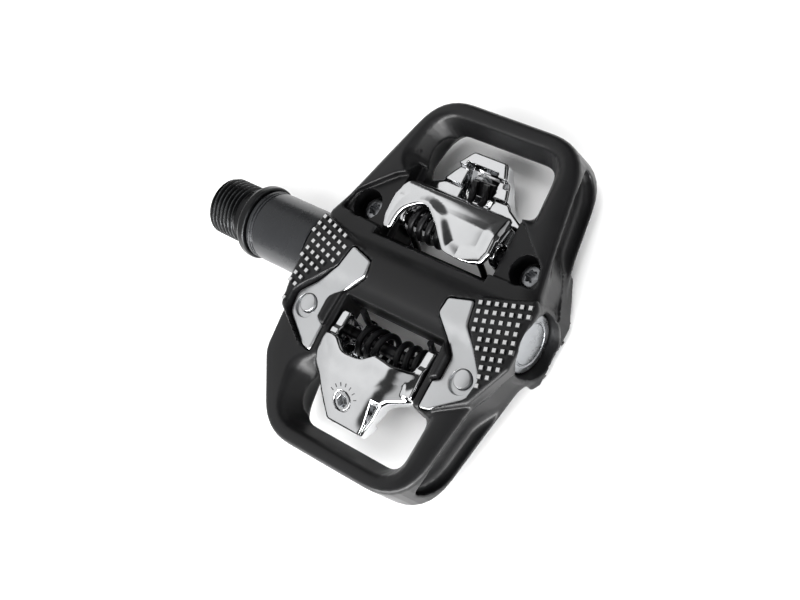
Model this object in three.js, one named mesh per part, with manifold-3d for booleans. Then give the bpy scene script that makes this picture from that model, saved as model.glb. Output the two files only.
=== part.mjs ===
// A double-sided clipless mountain bike pedal with a cage around its cleat binding, in millimetres.
// +X runs outboard along the spindle, +Y to the front, +Z up; the origin is on the spindle axis, at the
// middle of the whole pedal. The bottom side is the top side turned half a turn about the spindle.
import * as THREE from "three";
import { mergeVertices } from "three/addons/utils/BufferGeometryUtils.js";
import Module from "manifold-3d";

const wasm = await Module();
wasm.setup();

// ---- Driving dimensions. X stations are from the binding's middle plane. ----
const THREAD_D = 14.29; // 9/16 inch
const THREAD_PITCH = 1.27; // 20 threads per inch
const THREAD_RIDGES = 7;
const X_THREAD_END = -64.3;
const X_SEAT = -52.2; // face that meets the crank
const SHANK_R = 6.95;
const SEAT_R = 8.2;
const FLANGE_R = 9.0;
const FLANGE_W = 2.8;
const KEY_AF = 8; // hexagon key across flats
const KEY_DEPTH = 9;
const BARREL_R = 8.33;
const X_BODY_IN = -30.4;
const X_BODY_OUT = 30.5;
const X_DECK_OUT = 32.4;
const CAGE_Y = 43.1;
const CAGE_Z = 6.3;
const CAGE_BEVEL = 0.8;
const RIM_W = 3.4; // of the cage round a window's end
const DECK_RISE = 1.8; // how far the traction decks stand above the cage
const PANEL_DROP = 2.1; // how far the front panels lie below it
const PLATE_T = 1.2;
const PLATE_PROUD = 0.1; // how far a wear plate's rear half stands above the cage
const SCREW_X = 22.8;
const SCREW_Y = 13.2;
const SCREW_HEAD_R = 2.6;
const SCREW_R = 1.0;
const SCREW_HEAD_T = 2.0;
const SCREW_REACH = 4.3; // how far its tip goes beyond the middle of the cage's thickness
const TORX_R = 1.35;
const SCREW_SEAT_Z = -1.0;
const STUD_PROUD = 0.3; // how far a stud's head stands above its plate
const STUD_R = 2.15;
const STUD_SHANK_R = 1.9;
const PIVOT_Y = -14.5; // of the top claw
const PIVOT_Z = -1.0;
const PIN_R = 1.5;
const ARM_T = 1.5;
const FOOT_Y0 = 16.6; // the front claw's feet, let into the body beside the pocket
const FOOT_Y1 = 20.4;
const FOOT_Z0 = 1.7;
const FOOT_Z1 = 3.1;
const FOOT_L = 2.4; // how far a foot reaches into the wall
const PIN_REACH = 2.9; // how far a pin's end goes into an ear
const CLAW_W = 13.8; // half width
const TENSION_TILT = 25 * (Math.PI / 180);
const TENSION_X = -2.4;
const TENSION_Y = -29.2;
const TENSION_Z = 5.35; // of the nose's face where the tension screw comes out
const TENSION_R = 2.1;
const SCREW_TIP = 3.6; // depth of the screw's tip below the nose's face
const BARREL_WALL = 1.23;
const SHAFT_R = 5.0;
const SEAL_T = 1.5; // radial thickness of the sleeve's seal
const SEAL_W = 2.0;
const BUSH_T = 1.2;
const JOURNAL_R = 3.2;
const STUB_L = 3.6; // length of the shaft beyond the outer bearing
const RACE_T = 0.75;
const WASHER_T = 0.6;
const NUT_AF = 8.5; // across flats
const NUT_T = 2.4;
const CAP_T = 1.5;
const BALL_R = 0.9;
const BALLS = 7;
const X_BEARING = 12.5; // inboard face of the inner bearing
const BEARING_W = 4.2;
const WIRE_R = 0.75;
const COIL_R = 3.3;
const COIL_TURNS = 3.25;
const SPRING_IN = 1.6; // a spring's inner end along the pivot pin
const TENSION_PLATE_T = 1.1;
const PLATE_REACH = 2.7;

// ---- Clearances ----
const GAP = 0.3; // where a piece is let into its neighbour
const RUN = 0.15; // between turning pieces
const THROUGH = 40; // a cut that passes right through
const RACE_GAP = 1.2; // between the two bearings

// ---- Fits worked out from the sizes above ----
const X_FLANGE_OUT = X_SEAT + FLANGE_W;
const X_SLEEVE_IN = X_FLANGE_OUT + GAP;
const X_SLEEVE_OUT = X_BODY_IN - GAP;
const BORE_R = BARREL_R - BARREL_WALL;
const PAD_Z = CAGE_Z + DECK_RISE;
const PANEL_Z = CAGE_Z - PANEL_DROP;
const PLATE_Z = CAGE_Z + PLATE_PROUD; // top of a wear plate's rear half
const PLATE_RISE = BARREL_R - PLATE_Z - 0.03; // its front half is flush with the barrel's top
const COUNTERBORE_R = SCREW_HEAD_R + 1.1;
const BUTT_R = SHAFT_R + 0.4; // of the shaft where the seal runs on it
const SEAL_R = BUTT_R + RUN + SEAL_T;
const BUSH_R = SHAFT_R + RUN + BUSH_T;
const STUB_R = JOURNAL_R - 0.7; // of the shaft's threaded end under the locknut
const CLAW_EYE_R = PIN_R + 1.2;
const PIN_HOLE_R = PIN_R + 0.2;
const INNER_RACE_IN = JOURNAL_R + RUN;
const INNER_RACE_OUT = INNER_RACE_IN + RACE_T;
const BALL_PITCH = INNER_RACE_OUT + RUN + BALL_R;
const OUTER_RACE_IN = BALL_PITCH + BALL_R + RUN;
const OUTER_RACE_OUT = BORE_R - GAP;
const ARM_IN = CLAW_W - 1.6;
const ARM_OUT = ARM_IN + ARM_T;
const SPRING_OUT = ARM_IN - 2.3;
const FRONT_CLAW_W = CLAW_W + 1.1; // half width
const EAR_IN = ARM_OUT + 0.6;
const LEG_IN = ARM_OUT + 0.35;
const POCKET_W = FRONT_CLAW_W + 1.2;
const X_BEARINGS = [X_BEARING, X_BEARING + BEARING_W + RACE_GAP];
const X_SHOULDER = X_BEARINGS[0] - GAP;

// ---- Helpers: plain geometry in, solids joined and cut, meshes out ----
function solid(geometry) {
  const bare = (geometry.index ? geometry.toNonIndexed() : geometry).clone();
  bare.deleteAttribute("normal");
  bare.deleteAttribute("uv");
  const merged = mergeVertices(bare, 1e-4);
  const triVerts = new Uint32Array(merged.index.array);
  const vertProperties = new Float32Array(merged.attributes.position.array);
  const made = new wasm.Manifold(new wasm.Mesh({ numProp: 3, vertProperties, triVerts }));
  if (made.volume() >= 0) return made;
  for (let i = 0; i < triVerts.length; i += 3) {
    [triVerts[i + 1], triVerts[i + 2]] = [triVerts[i + 2], triVerts[i + 1]];
  }
  return new wasm.Manifold(new wasm.Mesh({ numProp: 3, vertProperties, triVerts }));
}

function geometryOf(manifold) {
  const { vertProperties, triVerts } = manifold.getMesh();
  const geometry = new THREE.BufferGeometry();
  geometry.setAttribute("position", new THREE.BufferAttribute(new Float32Array(vertProperties), 3));
  geometry.setIndex(new THREE.BufferAttribute(new Uint32Array(triVerts), 1));
  geometry.computeVertexNormals();
  return geometry;
}

const joined = (...solids) => solids.reduce((a, b) => a.add(b));
const cut = (from, ...tools) => tools.reduce((a, b) => a.subtract(b), from);

function box(x0, x1, y0, y1, z0, z1) {
  const geometry = new THREE.BoxGeometry(x1 - x0, y1 - y0, z1 - z0);
  return solid(geometry.translate((x0 + x1) / 2, (y0 + y1) / 2, (z0 + z1) / 2));
}

// A profile of [x, radius] points turned about the X axis.
function turned(profile, segments = 24) {
  const points = profile.map(([x, r]) => new THREE.Vector2(r, x));
  const [first, last] = [profile[0], profile[profile.length - 1]];
  if (first[1] > 0 || last[1] > 0) points.push(points[0].clone());
  return solid(new THREE.LatheGeometry(points, segments).rotateZ(-Math.PI / 2));
}

const ring = (x0, x1, rIn, rOut, segments) =>
  turned([[x0, rIn], [x1, rIn], [x1, rOut], [x0, rOut]], segments);

const rod = (x0, x1, r, segments) => turned([[x0, 0], [x0, r], [x1, r], [x1, 0]], segments);

// A rod along Z.
function post(x, y, z0, z1, r, segments = 16) {
  const geometry = new THREE.CylinderGeometry(r, r, z1 - z0, segments);
  return solid(geometry.rotateX(Math.PI / 2).translate(x, y, (z0 + z1) / 2));
}

const at = (made, x, y, z) => made.translate([x, y, z]);

const halfTurn = (made) => made.rotate([180, 0, 0]);

// Corners [x, y, radius] become an outline whose round corners are arcs.
function rounded(corners, steps = 4) {
  const outline = [];
  corners.forEach(([x, y, r = 0], i) => {
    const here = new THREE.Vector2(x, y);
    const before = corners[(i + corners.length - 1) % corners.length];
    const after = corners[(i + 1) % corners.length];
    const toBefore = new THREE.Vector2(before[0] - x, before[1] - y);
    const toAfter = new THREE.Vector2(after[0] - x, after[1] - y);
    const reach = Math.min(toBefore.length(), toAfter.length()) * 0.48;
    const half = toBefore.angleTo(toAfter) / 2;
    const back = Math.min(r / Math.tan(half), reach);
    if (back < 1e-3) {
      outline.push(here);
      return;
    }
    const start = here.clone().addScaledVector(toBefore.normalize(), back);
    const end = here.clone().addScaledVector(toAfter.normalize(), back);
    const curve = new THREE.QuadraticBezierCurve(start, here, end);
    outline.push(...curve.getPoints(steps));
  });
  if (THREE.ShapeUtils.isClockWise(outline)) outline.reverse();
  return outline;
}

// An outline moved outwards by a distance, each point along its own normal.
function grown(outline, by) {
  return outline.map((p, i) => {
    const before = outline[(i + outline.length - 1) % outline.length];
    const after = outline[(i + 1) % outline.length];
    const a = p.clone().sub(before).normalize();
    const b = after.clone().sub(p).normalize();
    const normal = new THREE.Vector2(a.y + b.y, -a.x - b.x);
    const spread = normal.lengthSq() / 2;
    return p.clone().addScaledVector(normal, by / Math.max(spread, 0.6));
  });
}

// A closed body through rings of equally many points: [z, outline] from the lowest up.
function lofted(levels) {
  const count = levels[0][1].length;
  const position = levels.flatMap(([z, outline]) => outline.flatMap((p) => [p.x, p.y, z]));
  const index = [];
  for (let level = 0; level + 1 < levels.length; level++) {
    for (let i = 0; i < count; i++) {
      const a = level * count + i;
      const b = level * count + ((i + 1) % count);
      index.push(a, b, b + count, a, b + count, a + count);
    }
  }
  const top = (levels.length - 1) * count;
  for (const [a, b, c] of THREE.ShapeUtils.triangulateShape(levels[0][1], [])) index.push(a, c, b);
  for (const [a, b, c] of THREE.ShapeUtils.triangulateShape(levels[levels.length - 1][1], [])) {
    index.push(top + a, top + b, top + c);
  }
  const geometry = new THREE.BufferGeometry();
  geometry.setAttribute("position", new THREE.Float32BufferAttribute(position, 3));
  geometry.setIndex(index);
  return solid(geometry);
}

const slab = (outline, z0, z1) => lofted([[z0, outline], [z1, outline]]);

// A side view of [y, z] points, drawn out along X.
function along(profile, x0, x1) {
  const outline = profile.map(([y, z]) => new THREE.Vector2(y, z));
  if (THREE.ShapeUtils.isClockWise(outline)) outline.reverse();
  const geometry = new THREE.ExtrudeGeometry(new THREE.Shape(outline), {
    depth: x1 - x0,
    bevelEnabled: false,
  });
  // The shape's own axes become Y and Z, and its depth runs along X.
  return solid(geometry.rotateY(Math.PI / 2).rotateX(Math.PI / 2).translate(x0, 0, 0));
}

const finishes = {
  blackForged: [0x1b1c1e, 0.5, 0.7],
  blackSteel: [0x17181a, 0.42, 0.9],
  sleeve: [0x3a3b3d, 0.38, 0.8],
  chrome: [0xd9dadc, 0.12, 1.0],
  stainless: [0xb4b6b8, 0.34, 1.0],
  springSteel: [0x202124, 0.35, 0.9],
  bearingSteel: [0xa9acb0, 0.2, 1.0],
  polymer: [0x1a1a1a, 0.7, 0.0],
  bronze: [0xa0763f, 0.4, 0.9],
};

function mesh(name, manifold, finish) {
  const [color, roughness, metalness] = finishes[finish];
  const material = new THREE.MeshStandardMaterial({ color, roughness, metalness });
  const made = new THREE.Mesh(geometryOf(manifold), material);
  made.name = name;
  return made;
}

// ---- Spindle and what runs on it ----
function spindle() {
  const crest = THREAD_D / 2;
  const root = crest - 0.613 * THREAD_PITCH;
  const lead = 0.35; // plain end before the first ridge
  const profile = [[X_THREAD_END, 0], [X_THREAD_END, root - 0.3]];
  for (let i = 0; i < THREAD_RIDGES; i++) {
    const x = X_THREAD_END + lead + i * THREAD_PITCH;
    profile.push([x, root], [x + THREAD_PITCH / 2, crest]);
  }
  const xThreadIn = X_THREAD_END + lead + THREAD_RIDGES * THREAD_PITCH;
  const xSeal = X_SLEEVE_IN + SEAL_W + 0.6;
  const xEnd = X_BEARINGS[1] + BEARING_W;
  profile.push(
    [xThreadIn, root], [xThreadIn + 0.5, SHANK_R], [X_SEAT, SHANK_R], [X_SEAT, SEAT_R],
    [X_SEAT + 1.2, FLANGE_R], [X_FLANGE_OUT - 0.5, FLANGE_R], [X_FLANGE_OUT, FLANGE_R - 0.5],
    [X_FLANGE_OUT, BUTT_R], [xSeal, BUTT_R], [xSeal, SHAFT_R],
    [X_SHOULDER, SHAFT_R], [X_SHOULDER, JOURNAL_R], [xEnd, JOURNAL_R], [xEnd, STUB_R],
    [xEnd + STUB_L, STUB_R], [xEnd + STUB_L, 0],
  );
  const key = new THREE.CylinderGeometry(KEY_AF / Math.sqrt(3), KEY_AF / Math.sqrt(3), KEY_DEPTH * 2, 6);
  const socket = solid(key.rotateZ(Math.PI / 2).translate(X_THREAD_END, 0, 0));
  return cut(turned(profile), socket);
}

function sleeve() {
  const chamfer = 0.3;
  const seat = X_SLEEVE_IN + SEAL_W + 0.4; // where the seal's pocket ends
  return turned([
    [X_SLEEVE_IN, SEAL_R + RUN], [X_SLEEVE_IN, BARREL_R - chamfer], [X_SLEEVE_IN + chamfer, BARREL_R],
    [X_SLEEVE_OUT, BARREL_R], [X_SLEEVE_OUT, BUSH_R + RUN], [seat, BUSH_R + RUN], [seat, SEAL_R + RUN],
  ]);
}

const seal = () => ring(X_SLEEVE_IN + 0.1, X_SLEEVE_IN + 0.1 + SEAL_W, BUTT_R + RUN, SEAL_R, 24);

const bush = () => ring(X_SLEEVE_IN + SEAL_W + 1, X_SLEEVE_OUT - 2, SHAFT_R + RUN, BUSH_R, 24);

const innerRace = (x) => ring(x, x + BEARING_W, INNER_RACE_IN, INNER_RACE_OUT, 20);
const outerRace = (x) => ring(x, x + BEARING_W, OUTER_RACE_IN, OUTER_RACE_OUT, 24);

function ball(x, i) {
  const angle = (i / BALLS) * 2 * Math.PI;
  const centre = [x + BEARING_W / 2, BALL_PITCH * Math.cos(angle), BALL_PITCH * Math.sin(angle)];
  return at(solid(new THREE.IcosahedronGeometry(BALL_R, 1)), ...centre);
}

function washer() {
  const x = X_BEARINGS[1] + BEARING_W + 0.1;
  return ring(x, x + WASHER_T, STUB_R + RUN, INNER_RACE_OUT, 20);
}

function locknut() {
  const x = X_BEARINGS[1] + BEARING_W + 0.1 + WASHER_T + 0.2;
  const corner = NUT_AF / Math.sqrt(3);
  const outside = new THREE.CylinderGeometry(corner, corner, NUT_T, 6);
  const nut = solid(outside.rotateZ(Math.PI / 2).translate(x + NUT_T / 2, 0, 0));
  return cut(nut, rod(x - 1, x + NUT_T + 1, STUB_R + RUN, 20));
}

function endCap() {
  const x = X_BODY_OUT - GAP;
  const cap = rod(x - CAP_T, x, BORE_R - GAP, 24);
  const notch = (sign) => box(x - 0.8, x + 1, sign * BORE_R - 1.1, sign * BORE_R + 1.1, -1, 1);
  return cut(cap, notch(1).rotate([35, 0, 0]), notch(-1).rotate([35, 0, 0]));
}

// ---- Wear plates: one each side of a claw, bent up over the barrel at their front ends ----
const plateCorners = [
  [11.3, 1.0, 0.8], [10.9, -2.7, 1.2], [17.9, -10.0, 2.0], [17.9, -15.3, 0.4], [16.3, -16.2, 0.4],
  [16.2, -22.7, 0.6], [18.7, -22.2, 2.0], [26.3, -16.6, 2.5], [26.9, -11.9, 2.5], [18.8, -2.8, 1.5],
  [17.6, 2.7, 0.8],
];

function bentSlab(zBelow, zAbove) {
  const line = [[-30, PLATE_Z], [-7.2, PLATE_Z], [-2.9, PLATE_Z + PLATE_RISE], [8, PLATE_Z + PLATE_RISE]];
  const above = line.map(([y, z]) => [y, z + zAbove]);
  const below = line.map(([y, z]) => [y, z - zBelow]).reverse();
  return along([...above, ...below], 5, 35);
}

function wearPlate() {
  const outline = slab(rounded(plateCorners, 2), -THROUGH, THROUGH);
  const hole = post(SCREW_X, -SCREW_Y, 0, THROUGH, STUD_R + GAP);
  return cut(outline.intersect(bentSlab(PLATE_T, 0)), hole);
}

function plateSeat() {
  const outline = slab(grown(rounded(plateCorners, 2), GAP), 0, THROUGH);
  return outline.intersect(bentSlab(PLATE_T + GAP, 20));
}

const mirrored = (made) => made.mirror([1, 0, 0]);

// A wear plate's threaded stud, closed at its round head, which takes the screw from the far side.
function stud() {
  const x = SCREW_X;
  const seat = PLATE_Z - PLATE_T;
  const head = post(x, -SCREW_Y, seat, PLATE_Z + STUD_PROUD, STUD_R);
  const shank = post(x, -SCREW_Y, -SCREW_SEAT_Z + GAP, seat, STUD_SHANK_R);
  return cut(joined(head, shank), post(x, -SCREW_Y, 0, SCREW_REACH + GAP, SCREW_R + GAP, 12));
}

// The torx screw that pulls the bottom side's stud up: its head is in the top side's counterbore.
function torxScrew() {
  const underHead = SCREW_SEAT_Z + 0.1;
  const face = underHead + SCREW_HEAD_T;
  const head = post(SCREW_X, SCREW_Y, underHead, face, SCREW_HEAD_R);
  const shank = post(SCREW_X, SCREW_Y, -SCREW_REACH, underHead, SCREW_R, 12);
  const recess = post(SCREW_X, SCREW_Y, face - 1.1, face + 1, TORX_R, 6);
  return cut(joined(head, shank), recess);
}

// ---- Pedal body ----
// The cage's outline on its top face, from the outboard middle round to the front, then back by the rear.
const cageTop = [
  [31.6, 6.4, 1], [29.7, 9.8, 3], [27.6, 21, 8], [23.6, CAGE_Y, 9.5], [-17.4, CAGE_Y, 9.5],
  [-23.4, 25.2, 6], [-27.8, 13.6, 3], [X_BODY_IN, 8.6, 1],
  [X_BODY_IN, -8.6, 1], [-29.5, -14.2, 3], [-28.6, -27, 8], [-17.4, -CAGE_Y, 10],
  [23.6, -CAGE_Y, 9], [26.9, -20.5, 8], [29.7, -9.8, 3], [31.6, -6.4, 1],
];

const flipped = (outline) => outline.map((p) => new THREE.Vector2(p.x, -p.y)).reverse();

const between = (a, b) => a.map((p, i) => p.clone().lerp(b[i], 0.5));

function cage() {
  const top = rounded(cageTop, 3);
  const bottom = flipped(top);
  const middle = between(top, bottom);
  const edge = CAGE_Z - CAGE_BEVEL;
  return lofted([
    [-CAGE_Z, grown(bottom, -CAGE_BEVEL)], [-edge, bottom], [0, middle],
    [edge, top], [CAGE_Z, grown(top, -CAGE_BEVEL)],
  ]);
}

// A window's sides slope in from both faces to the middle of the cage's thickness.
function cageWindow() {
  const end = CAGE_Y - RIM_W;
  const neck = end - 2.7; // the window's end at the middle of the cage's thickness
  const face = [[20.6, 23.5, 1], [20.2, end, 7], [-15.9, end, 8], [-19.2, 26.6, 4], [-15, 23.5, 1]];
  const waist = [[16.6, 24.2, 1], [15.8, neck, 3.5], [-12.6, neck, 4], [-13.6, 27, 2], [-12.6, 24.2, 1]];
  const faceRing = rounded(face, 3);
  return lofted([[-CAGE_Z - 0.01, faceRing], [0, rounded(waist, 3)], [CAGE_Z + 0.01, faceRing]]);
}

// The space for the front claw above and for the other side's claw below.
function bindingPocket() {
  const above = box(-POCKET_W, POCKET_W, 7.5, 26.5, 1.2, 12);
  const below = box(-EAR_IN, EAR_IN, 7.5, 26.5, -12, 1.3);
  return joined(above, below);
}

// The raised decks that carry the traction pattern.
const outboardPad = [
  [14.9, 3, 0], [31, 8.4, 0.8], [X_DECK_OUT, 6.4, 0.8], [X_DECK_OUT, -7.6, 1.5], [27.6, -17.6, 1],
  [19.5, -22.6, 0], [15.4, -16, 0], [14.9, -8, 0],
];
const inboardPad = [
  [-14.9, -8, 0], [-15.4, -16, 0], [-19.5, -22.6, 0], [-28.9, -16.2, 1.5], [X_BODY_IN, -8.4, 1],
  [X_BODY_IN, 7.6, 1], [-14.9, 3, 0],
];

function deck(corners) {
  const outline = rounded(corners, 2);
  return lofted([
    [CAGE_Z - 3, grown(outline, -0.8)], [PAD_Z - 0.5, outline], [PAD_Z, grown(outline, -0.4)],
  ]);
}

// The lowered front panels, where the screws for the bottom side's plates go in.
function frontPanel(side) {
  const corners = [[POCKET_W - 1, 9.3], [27.9, 10.2], [26.6, 15], [18.4, 22], [POCKET_W - 1, 23.6]];
  const outline = corners.map(([x, y]) => new THREE.Vector2(side * x, y));
  if (side < 0) outline.reverse();
  return slab(outline, PANEL_Z, 20);
}

function screwHoles(side) {
  const x = side * SCREW_X;
  const counterbore = post(x, SCREW_Y, SCREW_SEAT_Z, 20, COUNTERBORE_R, 20);
  const studHole = post(x, SCREW_Y, -THROUGH, SCREW_SEAT_Z + 1, STUD_SHANK_R + GAP);
  return [counterbore, studHole];
}

// The hole that the front claw's foot sits in, in the wall beside the pocket.
function foot(grow) {
  const x = FRONT_CLAW_W + FOOT_L + grow;
  return box(-x, x, FOOT_Y0 - grow, FOOT_Y1 + grow, FOOT_Z0 - grow, FOOT_Z1 + grow);
}

// A rod on a claw pin's axis at y and z, reaching x each way from the middle plane.
const onPin = (x, r, y, z) => at(rod(-x, x, r, 16), 0, y, z);

function pedalBody() {
  const topDecks = joined(deck(outboardPad), deck(inboardPad));
  let body = joined(cage(), topDecks, halfTurn(topDecks));
  const oneSide = joined(
    cageWindow(), bindingPocket(), frontPanel(1), frontPanel(-1), plateSeat(), mirrored(plateSeat()),
    ...screwHoles(1), ...screwHoles(-1), foot(GAP),
    onPin(EAR_IN + PIN_REACH + GAP, PIN_HOLE_R, -PIVOT_Y, -PIVOT_Z),
  );
  body = cut(body, oneSide, halfTurn(oneSide));
  body = body.add(rod(X_BODY_IN, X_BODY_OUT, BARREL_R, 32));
  const seats = joined(plateSeat(), mirrored(plateSeat()));
  const spindleBore = joined(
    rod(X_BODY_IN - 1, X_SHOULDER, SHAFT_R + 0.5, 24), rod(X_SHOULDER - 0.3, THROUGH, BORE_R, 24),
  );
  return cut(body, seats, halfTurn(seats), spindleBore);
}

// ---- Front claw: a fixed hooded hook over the cleat's nose ----
function frontClaw() {
  const hood = along([
    [9.4, 8.0], [12, 8.6], [16.5, 8.5], [21.2, 7.0], [22.6, 5.6], [22.2, 4.6], [20.4, 5.0],
    [16.2, 6.7], [9.4, 6.5],
  ], -FRONT_CLAW_W, FRONT_CLAW_W);
  const plan = rounded([
    [-FRONT_CLAW_W, 12.4, 1], [-FRONT_CLAW_W + 0.6, 9.4, 0.5], [-11.9, 9.6, 0.5], [-11.0, 14.6, 4],
    [-5.8, 18.4, 5], [-0.6, 14.2, 3], [3.6, 9.6, 2], [7.5, 8.4, 1], [FRONT_CLAW_W - 1, 10.4, 1],
    [FRONT_CLAW_W, 13, 1], [FRONT_CLAW_W, 22.6, 1], [-FRONT_CLAW_W + 1, 22.6, 3], [-FRONT_CLAW_W, 20, 1],
  ], 4);
  const trimmed = hood.intersect(slab(plan, 0, 20));
  const legs = [1, -1].map((side) => {
    const leg = [
      [FOOT_Y0, 6.8], [FOOT_Y0, FOOT_Z0], [FOOT_Y1, FOOT_Z0], [FOOT_Y1 + 0.2, 5.0], [17.5, 7.0],
    ];
    const outboard = along(leg, LEG_IN, FRONT_CLAW_W);
    return side > 0 ? outboard : mirrored(outboard);
  });
  const feet = foot(0);
  const gate = box(-LEG_IN - 0.2, LEG_IN + 0.2, 0, 40, -10, 4.2);
  return cut(joined(trimmed, ...legs, feet), gate);
}

// ---- Rear claw: turns back on its pin to let the cleat out ----
// Points and directions on the tension screw's axis, which stands square to the claw's sloping nose.
const tensionHead = new THREE.Vector3(TENSION_X, TENSION_Y, TENSION_Z);
const inwards = new THREE.Vector3(0, Math.sin(TENSION_TILT), -Math.cos(TENSION_TILT));

// A rod on the screw's axis, from one depth below the nose's face to another.
function tensionRod(from, to, r, segments = 16) {
  const geometry = new THREE.CylinderGeometry(r, r, to - from, segments);
  geometry.rotateX(Math.PI / 2 + TENSION_TILT);
  const middle = tensionHead.clone().addScaledVector(inwards, (from + to) / 2);
  return solid(geometry.translate(middle.x, middle.y, middle.z));
}

function claw() {
  const noseSlope = Math.tan(TENSION_TILT);
  const noseZ = (y) => tensionHead.z + (y - TENSION_Y) * noseSlope;
  const shell = along([
    [-16.0, 8.0], [-18.5, 8.3], [-23.5, noseZ(-23.5)], [-34.2, noseZ(-34.2)], [-34.6, 1.0],
    [-26.5, 1.0], [-26.0, 2.2], [-22, 2.2], [-19.5, 6.4], [-16.0, 6.4],
  ], -CLAW_W, CLAW_W);
  const plan = rounded([
    [-CLAW_W, -16.9, 0.6], [-9.6, -16.9, 2], [-6.2, -19.6, 3], [-1.4, -19.3, 3], [1.6, -16.8, 3],
    [6.6, -17.3, 2], [CLAW_W, -16.3, 0.6], [CLAW_W, -22.6, 0.6], [7.2, -26.2, 0.8], [6.8, -29.0, 0.8],
    [3.6, -34.4, 0.6], [-5.6, -34.4, 0.8], [-9.6, -29.3, 2], [-11.4, -26.4, 1.5], [-CLAW_W - 1.2, -24.9, 0.6],
  ], 2);
  const body = shell.intersect(slab(plan, -5, 20));
  const cavity = along(
    [[-20, 5.4], [-24.6, 5.4], [-31.6, 2.2], [-31.6, -4], [-20, -4]], -5.9, PLATE_REACH + GAP,
  );
  const notch = slab(
    [[3.9, -31], [8, -31], [8, -27.6], [4.4, -27.6]].map(([x, y]) => new THREE.Vector2(x, y)), -4, 4.2,
  );
  const arms = [1, -1].map((side) => {
    const eye = at(rod(ARM_IN, ARM_OUT, CLAW_EYE_R, 16), 0, PIVOT_Y, PIVOT_Z);
    const web = along([
      [-11.9, PIVOT_Z], [-10.6, 5.6], [-14.6, 6.0], [-15.6, 6.6], [-22.4, 6.4], [-21.6, 2.4],
      [-17.1, PIVOT_Z],
    ], ARM_IN, ARM_OUT);
    const arm = eye.add(web);
    return side > 0 ? arm : mirrored(arm);
  });
  const pin = onPin(THROUGH, PIN_HOLE_R, PIVOT_Y, PIVOT_Z);
  const screwHole = tensionRod(-5, 9, TENSION_R + 0.25, 20);
  return cut(joined(body, ...arms), cavity, notch, pin, screwHole);
}

const pivotPin = () => onPin(EAR_IN + PIN_REACH, PIN_R, PIVOT_Y, PIVOT_Z);

function tensionScrew() {
  const screw = tensionRod(0.05, SCREW_TIP - 0.6, TENSION_R, 20);
  const tip = tensionRod(SCREW_TIP - 0.7, SCREW_TIP, 1.2, 12);
  return cut(screw.add(tip), tensionRod(-1, 1.7, 1.25, 6));
}

// The plate under the tension screw's tip, which bears on the springs' free legs.
function tensionPlate() {
  const plate = new THREE.BoxGeometry(2 * PLATE_REACH, 3.4, TENSION_PLATE_T).rotateX(TENSION_TILT);
  const centre = tensionHead.clone().addScaledVector(inwards, SCREW_TIP + GAP + TENSION_PLATE_T / 2);
  return solid(plate.translate(0, centre.y, centre.z));
}

// A torsion spring about the pivot pin: its outer leg bears on the barrel, its inner leg on the plate.
function spring() {
  const perTurn = 11;
  const steps = Math.round(COIL_TURNS * perTurn);
  const barrelLeg = [
    [SPRING_OUT, -BARREL_R - WIRE_R - 0.1, PIVOT_Z + 4.9], [SPRING_OUT, -BARREL_R - WIRE_R - 1.22, PIVOT_Z + 2.4],
  ];
  const coil = Array.from({ length: steps + 1 }, (_, i) => {
    const angle = (-i / perTurn) * 2 * Math.PI;
    const x = SPRING_OUT + ((SPRING_IN - SPRING_OUT) * i) / steps;
    return [x, PIVOT_Y + Math.cos(angle) * COIL_R, PIVOT_Z + Math.sin(angle) * COIL_R];
  });
  const under = tensionHead.clone()
    .addScaledVector(inwards, SCREW_TIP + 2 * GAP + TENSION_PLATE_T + WIRE_R);
  const back = new THREE.Vector3(0, -Math.cos(TENSION_TILT), -Math.sin(TENSION_TILT));
  const plateLeg = [-2.6, 0.4, 1.6].map((reach) => {
    const p = under.clone().addScaledVector(back, reach);
    return [SPRING_IN, p.y, p.z];
  });
  const route = [...barrelLeg, ...coil, [SPRING_IN, PIVOT_Y - 4.4, PIVOT_Z - COIL_R + 0.5], ...plateLeg];
  const path = new THREE.CatmullRomCurve3(route.map((p) => new THREE.Vector3(...p)), false, "centripetal");
  const section = new THREE.Shape(rounded([[WIRE_R, 0], [0, WIRE_R], [-WIRE_R, 0], [0, -WIRE_R]]));
  const geometry = new THREE.ExtrudeGeometry(section, { steps: 52, bevelEnabled: false, extrudePath: path });
  return solid(geometry);
}

// ---- Assembly ----
const pedal = new THREE.Group();
pedal.add(mesh("spindle", spindle(), "blackSteel"));
pedal.add(mesh("barrel_sleeve", sleeve(), "sleeve"));
pedal.add(mesh("sleeve_seal", seal(), "polymer"));
pedal.add(mesh("inboard_bush", bush(), "bronze"));
["inner", "outer"].forEach((row, k) => {
  const x = X_BEARINGS[k];
  pedal.add(mesh(`${row}_bearing_inner_race`, innerRace(x), "bearingSteel"));
  pedal.add(mesh(`${row}_bearing_outer_race`, outerRace(x), "bearingSteel"));
  for (let i = 0; i < BALLS; i++) pedal.add(mesh(`${row}_bearing_ball_${i + 1}`, ball(x, i), "bearingSteel"));
});
pedal.add(mesh("lock_washer", washer(), "bearingSteel"));
pedal.add(mesh("axle_locknut", locknut(), "bearingSteel"));
pedal.add(mesh("end_cap", endCap(), "chrome"));
pedal.add(mesh("pedal_body", pedalBody(), "blackForged"));

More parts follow.
